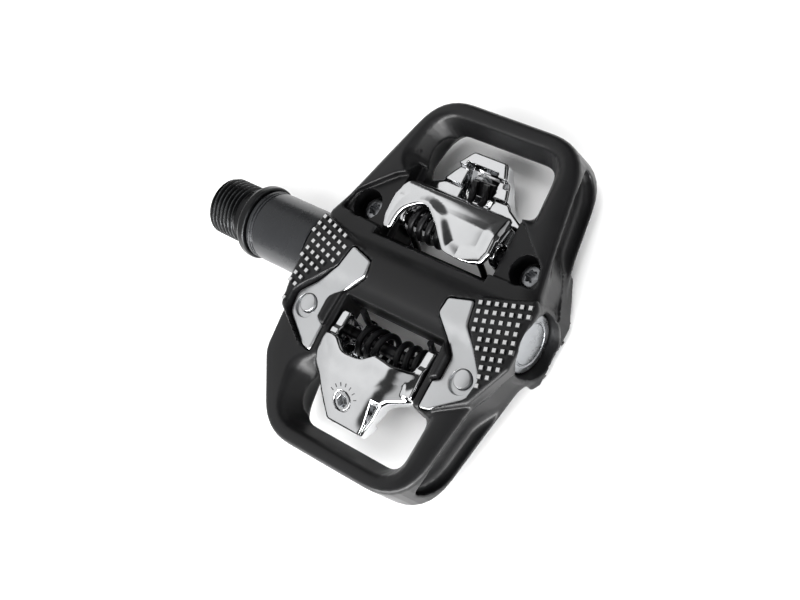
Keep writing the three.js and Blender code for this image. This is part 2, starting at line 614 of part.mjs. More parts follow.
["top", "bottom"].forEach((side) => {
  const half = new THREE.Group();
  if (side === "bottom") half.rotation.x = Math.PI;
  [["outboard", (made) => made], ["inboard", mirrored]].forEach(([end, placed]) => {
    half.add(mesh(`${side}_wear_plate_${end}`, placed(wearPlate()), "stainless"));
    half.add(mesh(`${side}_plate_stud_${end}`, placed(stud()), "stainless"));
    half.add(mesh(`${side}_torx_screw_${end}`, placed(torxScrew()), "stainless"));
  });
  half.add(mesh(`${side}_front_claw`, frontClaw(), "chrome"));
  half.add(mesh(`${side}_rear_claw`, claw(), "chrome"));
  half.add(mesh(`${side}_pivot_pin`, pivotPin(), "bearingSteel"));
  half.add(mesh(`${side}_tension_screw`, tensionScrew(), "blackSteel"));
  half.add(mesh(`${side}_tension_plate`, tensionPlate(), "springSteel"));
  half.add(mesh(`${side}_spring_outboard`, spring(), "springSteel"));
  half.add(mesh(`${side}_spring_inboard`, mirrored(spring()), "springSteel"));
  pedal.add(half);
});

// The origin moves from the binding's middle plane to the middle of the whole pedal.
pedal.position.x = -(X_THREAD_END + X_DECK_OUT) / 2;
const whole = new THREE.Group().add(pedal);

export default whole;
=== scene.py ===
import itertools
import math

import bmesh
import bpy
import numpy as np
from mathutils import Matrix, Vector


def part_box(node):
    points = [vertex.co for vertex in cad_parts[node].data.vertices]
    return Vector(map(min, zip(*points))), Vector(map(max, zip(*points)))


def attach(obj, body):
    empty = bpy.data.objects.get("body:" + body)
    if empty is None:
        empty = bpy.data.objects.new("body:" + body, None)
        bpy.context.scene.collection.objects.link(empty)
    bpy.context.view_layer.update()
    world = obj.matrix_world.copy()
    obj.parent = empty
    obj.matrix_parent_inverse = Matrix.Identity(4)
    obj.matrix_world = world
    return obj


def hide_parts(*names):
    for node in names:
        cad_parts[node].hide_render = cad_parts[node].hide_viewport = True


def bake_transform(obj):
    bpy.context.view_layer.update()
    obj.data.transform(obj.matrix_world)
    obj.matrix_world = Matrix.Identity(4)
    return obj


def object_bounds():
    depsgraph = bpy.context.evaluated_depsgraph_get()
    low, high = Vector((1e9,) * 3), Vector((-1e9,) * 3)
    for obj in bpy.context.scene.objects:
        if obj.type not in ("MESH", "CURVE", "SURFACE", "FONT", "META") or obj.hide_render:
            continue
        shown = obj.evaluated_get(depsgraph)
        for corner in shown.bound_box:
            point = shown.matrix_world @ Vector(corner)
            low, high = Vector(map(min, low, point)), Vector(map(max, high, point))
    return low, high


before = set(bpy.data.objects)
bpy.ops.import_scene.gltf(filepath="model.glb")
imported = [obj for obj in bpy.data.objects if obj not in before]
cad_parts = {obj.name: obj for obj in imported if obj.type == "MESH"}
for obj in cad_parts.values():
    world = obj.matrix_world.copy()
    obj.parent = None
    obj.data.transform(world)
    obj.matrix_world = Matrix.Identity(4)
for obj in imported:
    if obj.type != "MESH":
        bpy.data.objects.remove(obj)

bl_info = {
    "name": "Clipless pedal",
    "version": (1, 0, 0),
    "blender": (4, 5, 0),
    "location": "View3D > Sidebar > Pedal",
    "description": "Builds the visible pieces of a double-sided clipless pedal around its packed model",
    "category": "Object",
}

CAD_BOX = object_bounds()
MM = 0.001

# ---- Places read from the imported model, in millimetres ----


def box_mm(node):
    """A node's lowest and highest corners in millimetres."""
    low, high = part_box(node)
    return np.array(low) / MM, np.array(high) / MM


def middle_mm(node):
    low, high = box_mm(node)
    return (low + high) / 2


PIN = middle_mm("top_pivot_pin")
MID_X = PIN[0]  # the binding's middle plane, across which its pieces pair up
BODY_HIGH = box_mm("pedal_body")[1]
SLEEVE_LOW, SLEEVE_HIGH = box_mm("barrel_sleeve")
SPINDLE_LOW = box_mm("spindle")[0]
BARREL_R = SLEEVE_HIGH[2]
CAGE_Y = BODY_HIGH[1]
STUD = middle_mm("top_plate_stud_outboard")

# ---- Sizes in millimetres, with x from the binding's middle plane ----
GAP = 0.3  # between pieces that don't touch
CAGE_Z = 6.3
PAD_Z = 8.1
PANEL_Z = 4.2
PLATE_Z = 6.4
PLATE_RISE = 1.9
PLATE_T = 1.2
SCREW_X = STUD[0] - MID_X
SCREW_Y = -STUD[1]
X_IN = SLEEVE_HIGH[0] + GAP - MID_X
X_OUT = 30.5
X_DECK = BODY_HIGH[0] - MID_X
PIVOT_Y = PIN[1]
PIVOT_Z = PIN[2]
POCKET_W = 16.1
EAR_IN = 14.3
TENSION_TILT = math.radians(25)
TENSION_HEAD = np.array([-2.4, -29.2, 5.35])
TENSION_PLATE_T = 1.1
SCREW_TIP = 3.6  # depth of the tension screw's tip below the nose's face
TENSION_SCREW_R = 2.1
TENSION_BORE_R = 2.4
MARK = (0.85, 0.2, 0.12)  # a scale mark's length, width and thickness
SCALE_R = 3.75
SCALE_SPAN = (math.radians(25), math.radians(155))
COIL_R = 3.3
COIL_OUT = 9.9  # the coil's ends, across from the middle plane
COIL_IN = 1.6
COIL_TURNS = 3.25
COIL_POINTS = 79
WIRE_SIDES = 14
WIRE_STEP = 0.35
PIN_HOLE_R = 1.7
ARM_EYE_R = 2.7
STUD_HOLE_R = 2.2
RECESS_R = 2.85
COUNTERBORE_R = 3.7
BORE_R = 5.5
BEARING_BORE_R = 7.1
BEARING_SEAT_X = 12.2
WALL_FLARE = 0.15  # slope of the dish round the cap
POCKET_DEPTH = 3.0
HOOD_FOOT_IN = 14.05
HOOD_FOOT_OUT = 14.9
TABS_OUT = 13.7
THREAD_PITCH = 1.27
THREAD_ROOT_R = 6.25
THREAD_HEIGHT = 0.89
FLANGE_R = 9.0
SHAFT_R = 5.0
KEY_FLATS = 8.0  # across the hexagonal socket in the spindle's end
CAP_R = 6.8
BEVEL = 0.7071  # scales the sum of two distances to the distance from a 45 degree bevel
POST_BEVEL = 0.12
POST_ROOT = 0.05  # depth to which a post reaches into its deck
POST_FROM_EDGE = 0.75
POST_FROM_PLATE = 0.85
POST_MIN_X = 18
POST_ROWS = 20  # rows tried on each side of the first post
FIRST_OUTBOARD_POST = (19.3, 2.9)
FIRST_INBOARD_POST = (-30.4, 6.6)

CAGE_TOP = [
    (31.6, 6.4, 1), (29.7, 9.8, 3), (27.6, 21, 8), (23.6, CAGE_Y, 12), (-17.4, CAGE_Y, 12),
    (-23.4, 25.2, 6), (-27.8, 13.6, 3), (X_IN, 8.6, 1),
    (X_IN, -8.6, 1), (-29.5, -14.2, 3), (-28.6, -27, 8), (-17.4, -CAGE_Y, 13),
    (23.6, -CAGE_Y, 13), (27.2, -20.5, 8), (29.7, -9.8, 3), (31.6, -6.4, 1),
]
WINDOW_FACE = [(20.6, 23.0, 1), (20.2, 39.7, 7), (-15.9, 39.7, 8), (-19.2, 26.6, 4), (-15, 23.0, 1)]
WINDOW_WAIST = [(16.6, 24.0, 1), (15.8, 37, 3.5), (-12.6, 37, 4), (-13.6, 27, 2), (-12.6, 24.0, 1)]
OUTBOARD_PAD = [
    (14.9, 3.0, 0), (31, 8.4, 0.8), (X_DECK, 6.4, 0.8), (X_DECK, -7.6, 1.5), (27.6, -17.6, 1),
    (19.5, -22.6, 0), (15.4, -16, 0), (14.9, -8, 0),
]
INBOARD_PAD = [
    (-14.9, -8, 0), (-15.4, -16, 0), (-19.5, -22.6, 0), (-28.9, -16.2, 1.5), (X_IN, -8.4, 1),
    (X_IN, 7.6, 1), (-14.9, 3, 0),
]
PANEL = [(15.1, 9.3, 0), (27.9, 10.2, 1), (26.6, 15, 1), (18.4, 22, 1), (15.1, 23.6, 0)]
PLATE = [
    (11.3, 1.0, 0.8), (10.9, -2.7, 1.2), (17.9, -10.0, 2.0), (17.9, -15.3, 0.4), (16.3, -16.2, 0.4),
    (16.2, -22.7, 0.6), (18.7, -22.2, 2.0), (26.3, -16.6, 2.5), (26.9, -11.9, 2.5), (18.8, -2.8, 1.5),
    (17.6, 2.7, 0.8),
]


# ---- Fields: a shape is a function of x, y and z, less than 0 inside it, in millimetres ----


def smooth_max(a, b, blend):
    """The larger of two fields, with the edge between them rounded over about that many millimetres."""
    near = np.maximum(blend - np.abs(a - b), 0) / blend
    return np.maximum(a, b) + near * near * blend / 4


def smooth_min(a, b, blend):
    return -smooth_max(-a, -b, blend)


def cut(shape, tool, blend=0.5):
    return smooth_max(shape, -tool, blend)


def rounded(corners, steps=5):
    """Corners (x, y, radius) as an outline whose round corners are curves."""
    outline = []
    for i, (x, y, radius) in enumerate(corners):
        here = np.array((x, y))
        back = np.array(corners[i - 1][:2]) - here
        on = np.array(corners[(i + 1) % len(corners)][:2]) - here
        sizes = np.linalg.norm(back), np.linalg.norm(on)
        half = math.acos(np.clip(back @ on / (sizes[0] * sizes[1]), -1, 1)) / 2
        reach = min(radius / math.tan(half), 0.48 * min(sizes))
        if reach < 1e-3:
            outline.append(here)
            continue
        a = here + back / sizes[0] * reach
        b = here + on / sizes[1] * reach
        for t in np.linspace(0, 1, steps + 1):
            outline.append((1 - t) ** 2 * a + 2 * t * (1 - t) * here + t * t * b)
    return np.array(outline)


def inside_outline(outline, x, y, reach=3.0):
    """Signed distance in a plane to a closed outline, exact within reach of it."""
    x, y = np.broadcast_arrays(x, y)
    low, high = outline.min(0) - reach, outline.max(0) + reach
    away = np.maximum(np.maximum(low[0] - x, x - high[0]), np.maximum(low[1] - y, y - high[1]))
    near = away < 0
    px, py = x[near], y[near]
    nearest = np.full(px.shape, np.inf)
    inside = np.zeros(px.shape, bool)
    for (ax, ay), (bx, by) in zip(outline, np.roll(outline, -1, axis=0)):
        ex, ey = bx - ax, by - ay
        t = np.clip(((px - ax) * ex + (py - ay) * ey) / (ex * ex + ey * ey), 0, 1)
        nearest = np.minimum(nearest, (px - ax - ex * t) ** 2 + (py - ay - ey * t) ** 2)
        if by != ay:
            inside ^= ((ay > py) != (by > py)) & (px < ax + ex * (py - ay) / ey)
    distance = away + reach
    distance[near] = np.where(inside, -1, 1) * np.sqrt(nearest)
    return distance


def bar(x, y, z, x0, x1, y0, y1, z0, z1, blend=0.4):
    """A rectangular block with rounded edges."""
    sides = [np.maximum(a - p, p - b) for p, a, b in ((x, x0, x1), (y, y0, y1), (z, z0, z1))]
    return smooth_max(smooth_max(sides[0], sides[1], blend), sides[2], blend)


def post(x, y, cx, cy, radius):
    return np.hypot(x - cx, y - cy) - radius


def step_up(t):
    """0 up to t = 0, rising smoothly to 1 at t = 1."""
    t = np.clip(t, 0, 1)
    return t * t * (3 - 2 * t)


# ---- Meshes from fields ----


def net(field, low, high, step):
    """The surface where a field is 0, as points and four-cornered faces."""
    axes = [np.arange(a - step, b + 2 * step, step) for a, b in zip(low, high)]
    value = field(axes[0][:, None, None], axes[1][None, :, None], axes[2][None, None, :])
    value = np.ascontiguousarray(np.broadcast_to(value, [len(a) for a in axes]))
    inside = value < 0
    cells = np.array(value.shape) - 1
    total = np.zeros((*cells, 3))
    count = np.zeros(cells, int)
    corners = itertools.product((0, 1), repeat=3)
    corner = {c: tuple(slice(o, o + n) for o, n in zip(c, cells)) for c in corners}
    for start, axis in itertools.product(corner, range(3)):
        if start[axis]:
            continue
        end = tuple(1 if k == axis else start[k] for k in range(3))
        a, b = value[corner[start]], value[corner[end]]
        crossed = (a < 0) != (b < 0)
        share = np.where(crossed, a / np.where(crossed, a - b, 1), 0)
        for k in range(3):
            total[..., k] += share if k == axis else crossed * start[k]
        count += crossed
    used = count > 0
    index = np.full(cells, -1)
    index[used] = np.arange(used.sum())
    points = (total[used] / count[used][:, None] + np.argwhere(used)) * step + [a[0] for a in axes]
    faces = []
    for axis in range(3):
        u, v = (axis + 1) % 3, (axis + 2) % 3
        a = np.take(inside, range(value.shape[axis] - 1), axis)
        b = np.take(inside, range(1, value.shape[axis]), axis)
        for where, order in ((a & ~b, 1), (~a & b, -1)):
            at = np.argwhere(where)
            at = at[(at[:, u] > 0) & (at[:, v] > 0) & (at[:, u] < cells[u]) & (at[:, v] < cells[v])]
            ring = []
            for du, dv in ((1, 1), (0, 1), (0, 0), (1, 0))[::order]:
                cell = at.copy()
                cell[:, u] -= du
                cell[:, v] -= dv
                ring.append(index[tuple(cell.T)])
            faces.append(np.stack(ring, 1))
    return points, np.concatenate(faces)


def gradient(field, points, reach=0.02):
    columns = []
    for axis in range(3):
        shift = np.zeros(3)
        shift[axis] = reach
        ahead = field(*(points + shift).T) - field(*(points - shift).T)
        columns.append(ahead / (2 * reach))
    return np.stack(columns, 1)


def settle(field, points, step, rounds=4):
    """Moves points along the field's slope until they lie on its surface."""
    points = points.copy()
    for _ in range(rounds):
        slope = gradient(field, points)
        size = np.maximum((slope**2).sum(1, keepdims=True), 0.05)
        move = slope * field(*points.T)[:, None] / size
        length = np.linalg.norm(move, axis=1, keepdims=True)
        points -= move * np.minimum(1, 0.5 * step / np.maximum(length, 1e-9))
    return points


def convexity(field, points, normals, reach=0.35):
    """How sharply the surface turns away at each point: over 0 on an outer edge."""
    beyond = field(*(points + normals * reach).T)
    within = field(*(points - normals * reach).T)
    spread = np.zeros(len(points))
    for axis in range(3):
        shift = np.zeros(3)
        shift[axis] = reach
        spread += field(*(points + shift).T) + field(*(points - shift).T)
    return (spread - (beyond + within)) / reach


def plain_mesh(name, points, faces):
    mesh = bpy.data.meshes.new(name)
    mesh.from_pydata(points.tolist(), [], faces.tolist())
    mesh.update()
    return mesh


def linked(name, mesh):
    made = bpy.data.objects.new(name, mesh)
    bpy.context.scene.collection.objects.link(made)
    return made


def baked(made):
    """Turns an object's modifiers into plain mesh and removes them."""
    graph = bpy.context.evaluated_depsgraph_get()
    mesh = bpy.data.meshes.new_from_object(made.evaluated_get(graph))
    made.modifiers.clear()
    made.data = mesh
    return made


def cast(field, low, high, step, places):
    """Smooth solids from a field, with the field's own normals: one for each place in a dictionary of
    name: (mirror, flip). The field's x is measured from the binding's middle plane. A mirrored piece is
    on the inboard side, and a flipped one on the bottom side."""
    points, faces = net(field, low, high, step)
    points = settle(field, points, step)
    normals = gradient(field, points)
    normals /= np.maximum(np.linalg.norm(normals, axis=1, keepdims=True), 1e-9)
    edges = convexity(field, points, normals).astype(np.float32)
    made = []
    for name, (mirror, flip) in places.items():
        sign = np.array((-1 if mirror else 1, -1 if flip else 1, -1 if flip else 1))
        at = points * sign + (MID_X, 0, 0)
        mesh = plain_mesh(name, at * MM, faces[:, ::-1] if mirror else faces)
        mesh.attributes.new("edge", "FLOAT", "POINT").data.foreach_set("value", edges)
        mesh.polygons.foreach_set("use_smooth", np.ones(len(mesh.polygons), bool))
        mesh.normals_split_custom_set_from_vertices((normals * sign).tolist())
        made.append(linked(name, mesh))
    return made


def piece(made, body, slot, material, *nodes):
    """Gives a finished piece its material, ties it to the CAD body, and hides the nodes it stands for."""
    made.data.materials.clear()
    made.data.materials.append(material)
    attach(made, body)
    if nodes:
        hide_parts(*nodes)
    return made


# ---- The forged body ----
OUTLINE = rounded(CAGE_TOP, 8)
FACE_RING = rounded(WINDOW_FACE, 6)
WAIST_RING = rounded(WINDOW_WAIST, 6)
PADS = rounded(OUTBOARD_PAD, 2), rounded(INBOARD_PAD, 2)
PANEL_RING = rounded(PANEL, 2)
PLATE_RING = rounded(PLATE, 3)


def plate_top(y):
    """Height of a wear plate's face: its front half is bent up over the barrel in one smooth S."""
    return PLATE_Z + PLATE_RISE * step_up((y + 8.2) / 6.2)


def oval(x, y, z, centre, radii):
    """An egg-shaped tool."""
    parts = [((p - c) / r) ** 2 for p, c, r in zip((x, y, z), centre, radii)]
    return (np.sqrt(parts[0] + parts[1] + parts[2]) - 1) * min(radii)


def window_cut(x, y, z):
    """The front window. It narrows to a waist at the cage's middle height, and its inboard wall is
    scooped."""
    window = inside_outline(WAIST_RING, x, y)
    window = window + (inside_outline(FACE_RING, x, y) - window) * np.clip(np.abs(z) / CAGE_Z, 0, 1.3)
    return smooth_min(window, oval(x, y, z, (-12.4, 30.2, 0), (2.9, 5.2, 4.4)), 0.4)


def side_cuts(x, y, z):
    """What one side's binding, plates and screws take out of the cage and its decks."""
    across = np.abs(x)
    tools = bar(across, y, z, -1, POCKET_W, 7.5, 26.5, 1.2, 14)
    under = bar(across, y, z, -1, EAR_IN, 7.5, 26.5, -14, 1.3)
    panel = smooth_max(inside_outline(PANEL_RING, across, y), PANEL_Z - z, 0.5)
    counterbore = smooth_max(post(across, y, SCREW_X, SCREW_Y, COUNTERBORE_R), -1.0 - z, 0.3)
    stud_hole = smooth_max(post(across, y, SCREW_X, SCREW_Y, STUD_HOLE_R), z, 0.3)
    foot = bar(across, y, z, -1, 17.6, 16.3, 20.7, 1.4, 3.4, 0.2)
    pin = np.maximum(np.hypot(y + PIVOT_Y, z + PIVOT_Z) - PIN_HOLE_R, across - 17.5)
    for tool in (under, panel, counterbore, stud_hole, foot, pin):
        tools = np.minimum(tools, tool)
    return tools


def plate_seat(x, y, z):
    """The seat let into the deck and barrel for a wear plate, with a gap all round it."""
    outline = inside_outline(PLATE_RING, np.abs(x), y) - GAP
    return smooth_max(outline, plate_top(y) - PLATE_T - GAP - z, 0.25)


def deck(outline, x, y, z):
    """A raised deck, drawn in below, with a bevelled edge round its top."""
    side = inside_outline(outline, x, y)
    walls = smooth_max(side + 0.17 * np.clip(PAD_Z - z, 0, 5), z - PAD_Z, 0.3)
    bevelled = smooth_max(walls, (side + z - PAD_Z + 0.8) * BEVEL, 0.3)
    return np.maximum(bevelled, 3.3 - z)


def forged_body(x, y, z):
    """The cage, its decks and the barrel, with everything that is let into them."""
    top = inside_outline(OUTLINE, x, y)
    bottom = inside_outline(OUTLINE, x, -y)
    side = bottom + (top - bottom) * np.clip(z / CAGE_Z * 0.5 + 0.5, 0, 1)
    high = np.abs(z)
    # The faces are crowned towards the cage's outer edge, which is rounded over.
    crowned = high - CAGE_Z + 0.025 * np.clip(side + 5, 0, 6) ** 2
    cage = smooth_max(side, crowned, 1.3)
    # A long pocket is scooped out of each outboard wall. It has a round end at the corner of the cage, and
    # its floor runs out towards the cap.
    along = np.abs(y)
    end = np.clip((along - 30.5) / 8.5, 0, 2)
    rim = (np.sqrt((z / 4.6) ** 2 + end**2) - 1) * 4.0
    floor = -side - POCKET_DEPTH * step_up((along - 12) / 10)
    pocket = np.maximum(smooth_max(rim, floor, 2.2), 12 - x)
    cage = cut(cage, pocket, 0.5)
    decks = np.minimum(deck(PADS[0], x, y, z), deck(PADS[1], x, y, z))
    decks = np.minimum(decks, np.minimum(deck(PADS[0], x, -y, -z), deck(PADS[1], x, -y, -z)))
    body = smooth_min(cage, decks, 0.7)
    body = cut(body, window_cut(x, y, z), 1.4)
    body = cut(body, window_cut(x, -y, -z), 1.4)
    body = cut(body, side_cuts(x, y, z), 0.6)
    body = cut(body, side_cuts(x, -y, -z), 0.6)
    radius = np.hypot(y, z)
    barrel = smooth_max(radius - BARREL_R, np.maximum(x - X_OUT, X_IN - x), 0.6)
    body = smooth_min(body, barrel, 0.8)
    # A dish opens slightly outwards from the cap's rim, under the decks' edges.
    dish = np.maximum(radius - 7.4 - WALL_FLARE * (x - X_OUT), 29.0 - x)
    body = cut(body, dish, 0.3)
    body = cut(body, plate_seat(x, y, z), 0.3)
    body = cut(body, plate_seat(x, -y, -z), 0.3)
    bore = np.minimum(radius - BORE_R, np.maximum(radius - BEARING_BORE_R, BEARING_SEAT_X - x))
    return cut(body, bore, 0.3)


# ---- Plates and claws ----
def wear_plate(x, y, z):
    sheet = smooth_max(z - plate_top(y), plate_top(y) - PLATE_T - z, 0.2)
    plate = smooth_max(inside_outline(PLATE_RING, x, y), sheet, 0.5)
    hole = post(x, y, SCREW_X, -SCREW_Y, STUD_HOLE_R)
    # A shallow round recess lies a little to the rear of the stud's head.
    recess = smooth_max(post(x, y, SCREW_X, -SCREW_Y - 0.7, RECESS_R), PLATE_Z - 0.7 - z, 0.2)
    return cut(cut(plate, hole, 0.15), recess, 0.2)


HOOD = rounded([
    (9.4, 8.0, 0.4), (12, 8.6, 2), (16.8, 8.8, 5), (21.4, 7.1, 3), (22.7, 5.4, 0.8), (22.2, 4.6, 0.3),
    (20.4, 5.0, 1), (16.2, 6.7, 1), (9.4, 6.5, 0.4),
], 6)
HOOD_PLAN = rounded([
    (-14.9, 12.4, 1), (-14.3, 9.4, 1), (-11.9, 9.6, 1), (-11.0, 14.6, 4), (-5.8, 18.4, 5),
    (-0.6, 14.2, 3), (3.6, 9.6, 2.5), (7.5, 8.4, 2), (13.9, 10.4, 1.5), (14.9, 13, 1.5),
    (14.9, 22.6, 1.5), (-13.9, 22.6, 3), (-14.9, 20, 1.5),
], 5)
HOOD_LEG = rounded([
    (16.6, 6.8, 0.2), (16.6, 1.7, 0.2), (20.4, 1.7, 0.2), (20.6, 5.0, 0.3), (17.5, 7.0, 0.3),
], 2)


def front_claw(x, y, z):
    """The fixed hooked hood over the cleat's nose, with a turned-over rim along its jaw."""
    across = np.abs(x)
    plan = inside_outline(HOOD_PLAN, x, y)
    # The hood is crowned from end to end, and sinks a little behind its rim.
    droop = 0.0045 * across**2
    dip = 0.4 * step_up((-plan - 0.7) / 3.2) * step_up((22 - y) / 7)
    lowered = z + (droop + dip) * step_up((z - 4) / 3)
    hood = inside_outline(HOOD, *np.broadcast_arrays(y, lowered))
    hood = smooth_max(plan, hood, 0.9)
    walls = np.maximum(HOOD_FOOT_IN - across, across - HOOD_FOOT_OUT)
    leg = smooth_max(inside_outline(HOOD_LEG, y, z), walls, 0.2)
    foot = bar(across, y, z, HOOD_FOOT_IN, 17.3, 16.6, 20.4, 1.7, 3.1, 0.2)
    return smooth_min(hood, np.minimum(leg, foot), 0.8)


NOSE_TILT = math.tan(TENSION_TILT)


def nose_top(y):
    """Height of the nose's sloping face."""
    return TENSION_HEAD[2] + (y - TENSION_HEAD[1]) * NOSE_TILT


SHELL = rounded([
    (-16.0, 8.0, 0.5), (-18.9, 8.5, 3), (-24.5, nose_top(-24.5), 6), (-34.2, nose_top(-34.2), 0.6),
    (-34.6, -0.9, 0.6), (-30.6, -0.9, 0.6), (-30.2, 1.0, 0.4), (-26.5, 1.0, 0.4), (-26.0, 2.2, 0.4),
    (-22, 2.2, 0.5), (-19.5, 6.4, 1), (-16.0, 6.4, 0.4),
], 7)
CLAW_PLAN = rounded([
    (-13.8, -16.9, 1), (-9.6, -16.9, 2.5), (-6.2, -19.6, 3.5), (-1.4, -19.3, 3.5), (1.6, -16.8, 3),
    (6.6, -17.3, 2), (13.8, -16.3, 1), (13.8, -22.4, 1), (8.6, -25.2, 1.5), (7.2, -26.6, 0.8),
    (6.0, -30.0, 1), (3.9, -34.4, 1), (-5.6, -34.4, 1.5), (-9.6, -29.3, 2), (-11.4, -26.4, 1.5),
    (-15.0, -24.9, 0.8),
], 4)
CAVITY = rounded([(-20, 5.4, 0.5), (-24.6, 5.4, 1), (-31.6, 2.2, 1), (-31.6, -4, 0.5), (-20, -4, 0.5)], 2)
WEB = rounded([
    (-11.9, -1, 0.8), (-10.6, 5.6, 1), (-14.6, 6.0, 1), (-15.6, 6.6, 0.6), (-22.4, 6.4, 0.8),
    (-21.6, 2.4, 1), (-17.1, -1, 1),
], 3)


def by_tension_screw(x, y, z):
    """Distances in the tension screw's own frame: two across its axis, then depth below the nose's face."""
    dx, dy, dz = (p - c for p, c in zip((x, y, z), TENSION_HEAD))
    depth = dy * math.sin(TENSION_TILT) - dz * math.cos(TENSION_TILT)
    aside = dy * math.cos(TENSION_TILT) + dz * math.sin(TENSION_TILT)
    return dx, aside, depth


def nose_ledge(x, y, z, plan):
    """A lowered ledge along the nose's outboard side, hollowed inside a thin rim."""
    beyond = 5.0 + 0.132 * (y + 26.7) - x
    depth = nose_top(y) - z
    ledge = smooth_max(np.maximum(beyond, y + 26.2), depth - 1.1, 0.2)
    hollow = smooth_max(np.maximum(beyond, y + 26.8), plan + 0.7, 0.2)
    return np.minimum(ledge, np.maximum(hollow, depth - 4.2))


def rear_claw(x, y, z):
    """The claw that swings back: a rimmed jaw, rolled flanks and a sloping nose."""
    across = np.abs(x)
    plan = inside_outline(CLAW_PLAN, x, y)
    dip = 0.35 * step_up((-plan - 0.7) / 3.5) * step_up((y + 27) / 6)
    outboard = np.clip(x - 3.6 - 0.35 * (y + 21.5), 0, 20)
    inboard = np.clip(-8.6 - x - 0.3 * (y + 21.5), 0, 20)
    lowered = z + (dip + 0.03 * outboard**2 + 0.05 * inboard**2) * step_up((z - 1.5) / 3)
    shell = inside_outline(SHELL, *np.broadcast_arrays(y, lowered))
    claw = smooth_max(plan, shell, 0.9)
    cavity = smooth_max(inside_outline(CAVITY, y, z), np.maximum(-5.9 - x, x - 3.0), 0.4)
    claw = cut(claw, cavity, 0.3)
    claw = cut(claw, nose_ledge(x, y, z, plan), 0.35)
    from_pin = np.hypot(y - PIVOT_Y, z - PIVOT_Z)
    arm = np.minimum(from_pin - ARM_EYE_R, inside_outline(WEB, y, z))
    # The arms thicken to square tabs at their tops.
    arm = smooth_max(arm, np.maximum(12.2 - 0.9 * step_up(z - 2.5) - across, across - TABS_OUT), 0.5)
    claw = smooth_min(claw, arm, 0.8)
    claw = cut(claw, from_pin - PIN_HOLE_R, 0.2)
    dx, aside, _ = by_tension_screw(x, y, z)
    return cut(claw, np.hypot(dx, aside) - TENSION_BORE_R, 0.15)


# ---- Turned pieces and screws ----
def hexagon(a, b, across_flats):
    """Distance outside a hexagon that stands on a flat."""
    half = across_flats / 2
    return np.maximum(np.abs(b), np.maximum(np.abs(b / 2 + a * 0.866), np.abs(b / 2 - a * 0.866))) - half


THREAD_END = SPINDLE_LOW[0] - MID_X
SEAT_X = THREAD_END + 12.1
FLANGE_X = SEAT_X + 2.8


def spindle_end(x, y, z):
    """The spindle: its threaded end with a hexagonal key socket, its flange and its stepped shaft."""
    radius = np.hypot(y, z)
    turn = np.arctan2(z, y) / (2 * math.pi)
    phase = np.mod((x - THREAD_END) / THREAD_PITCH - turn, 1)
    # A 60 degree ridge with a narrow flat on its crest and its root, which runs out at both ends.
    ridge = np.clip(1.25 - 2.6 * np.abs(phase - 0.5), 0, 1)
    run_out = step_up((x - THREAD_END) / 0.8), step_up((SEAT_X - 2.1 - x) / 1.0)
    crest = THREAD_ROOT_R + THREAD_HEIGHT * ridge * run_out[0] * run_out[1]
    thread = (radius - crest) * 0.6
    thread = smooth_max(thread, (radius + THREAD_END - x - 5.9) * BEVEL, 0.2)
    thread = smooth_max(thread, THREAD_END - x, 0.2)
    neck = np.maximum(radius - 6.6, SEAT_X - 2.9 - x)
    blank = smooth_min(thread, neck, 0.3)
    blank = np.maximum(blank, x - SEAT_X - 1)
    flange = smooth_max(radius - FLANGE_R, np.maximum(SEAT_X - x, x - FLANGE_X), 0.5)
    flange = smooth_max(flange, (radius + SEAT_X - x - 8.1) * BEVEL, 0.3)
    shoulder = 0.4 * (x < FLANGE_X + 2.9)
    shaft = np.maximum(radius - SHAFT_R - shoulder, np.maximum(SEAT_X - x, x - BEARING_SEAT_X))
    journal = np.maximum(radius - 3.2, np.maximum(12.0 - x, x - 22.1))
    stub = smooth_max(radius - 2.5, np.maximum(22.0 - x, x - 25.7), 0.3)
    spindle = smooth_min(blank, flange, 0.3)
    for part in (shaft, journal, stub):
        spindle = np.minimum(spindle, part)
    socket = np.maximum(hexagon(y, z, KEY_FLATS), x - THREAD_END - 9)
    mouth = radius - 4.9 + (x - THREAD_END)
    return cut(cut(spindle, socket, 0.2), mouth, 0.2)


SLEEVE_IN = SLEEVE_LOW[0] - MID_X
SLEEVE_OUT = SLEEVE_HIGH[0] - MID_X


def barrel_sleeve(x, y, z):
    """A turned tube round the bush and the seal."""
    radius = np.hypot(y, z)
    sleeve = smooth_max(radius - BARREL_R, np.maximum(SLEEVE_IN - x, x - SLEEVE_OUT), 0.5)
    # Two fine turned grooves ring its inboard end.
    for groove in (1.3, 2.1):
        off = np.abs(x - SLEEVE_IN - groove)
        sleeve = cut(sleeve, np.maximum(BARREL_R - 0.25 - radius, off - 0.2), 0.15)
    bore = np.minimum(radius - 6.5, np.maximum(radius - 7.2, x - SLEEVE_IN - 2.4))
    return cut(sleeve, bore, 0.2)


def end_cap(x, y, z):
    """A slightly domed cap in the bore's outboard end."""
    radius = np.hypot(y, z)
    face = X_OUT - 0.6 - 0.008 * radius**2
    cap = smooth_max(radius - CAP_R, np.maximum(x - face, X_OUT - 1.8 - x), 0.4)
    turn = np.arctan2(z, y)
    # Two spanner notches in the rim, and a shallow ring inside it.
    for where in (35, 215):
        off = np.abs(np.mod(turn - math.radians(where) + math.pi, 2 * math.pi) - math.pi) * radius - 1.0
        cap = cut(cap, np.maximum(np.maximum(off, 5.8 - radius), X_OUT - 1.0 - x), 0.2)
    return cut(cap, np.maximum(np.abs(radius - 4.9) - 0.18, face - 0.15 - x), 0.2)


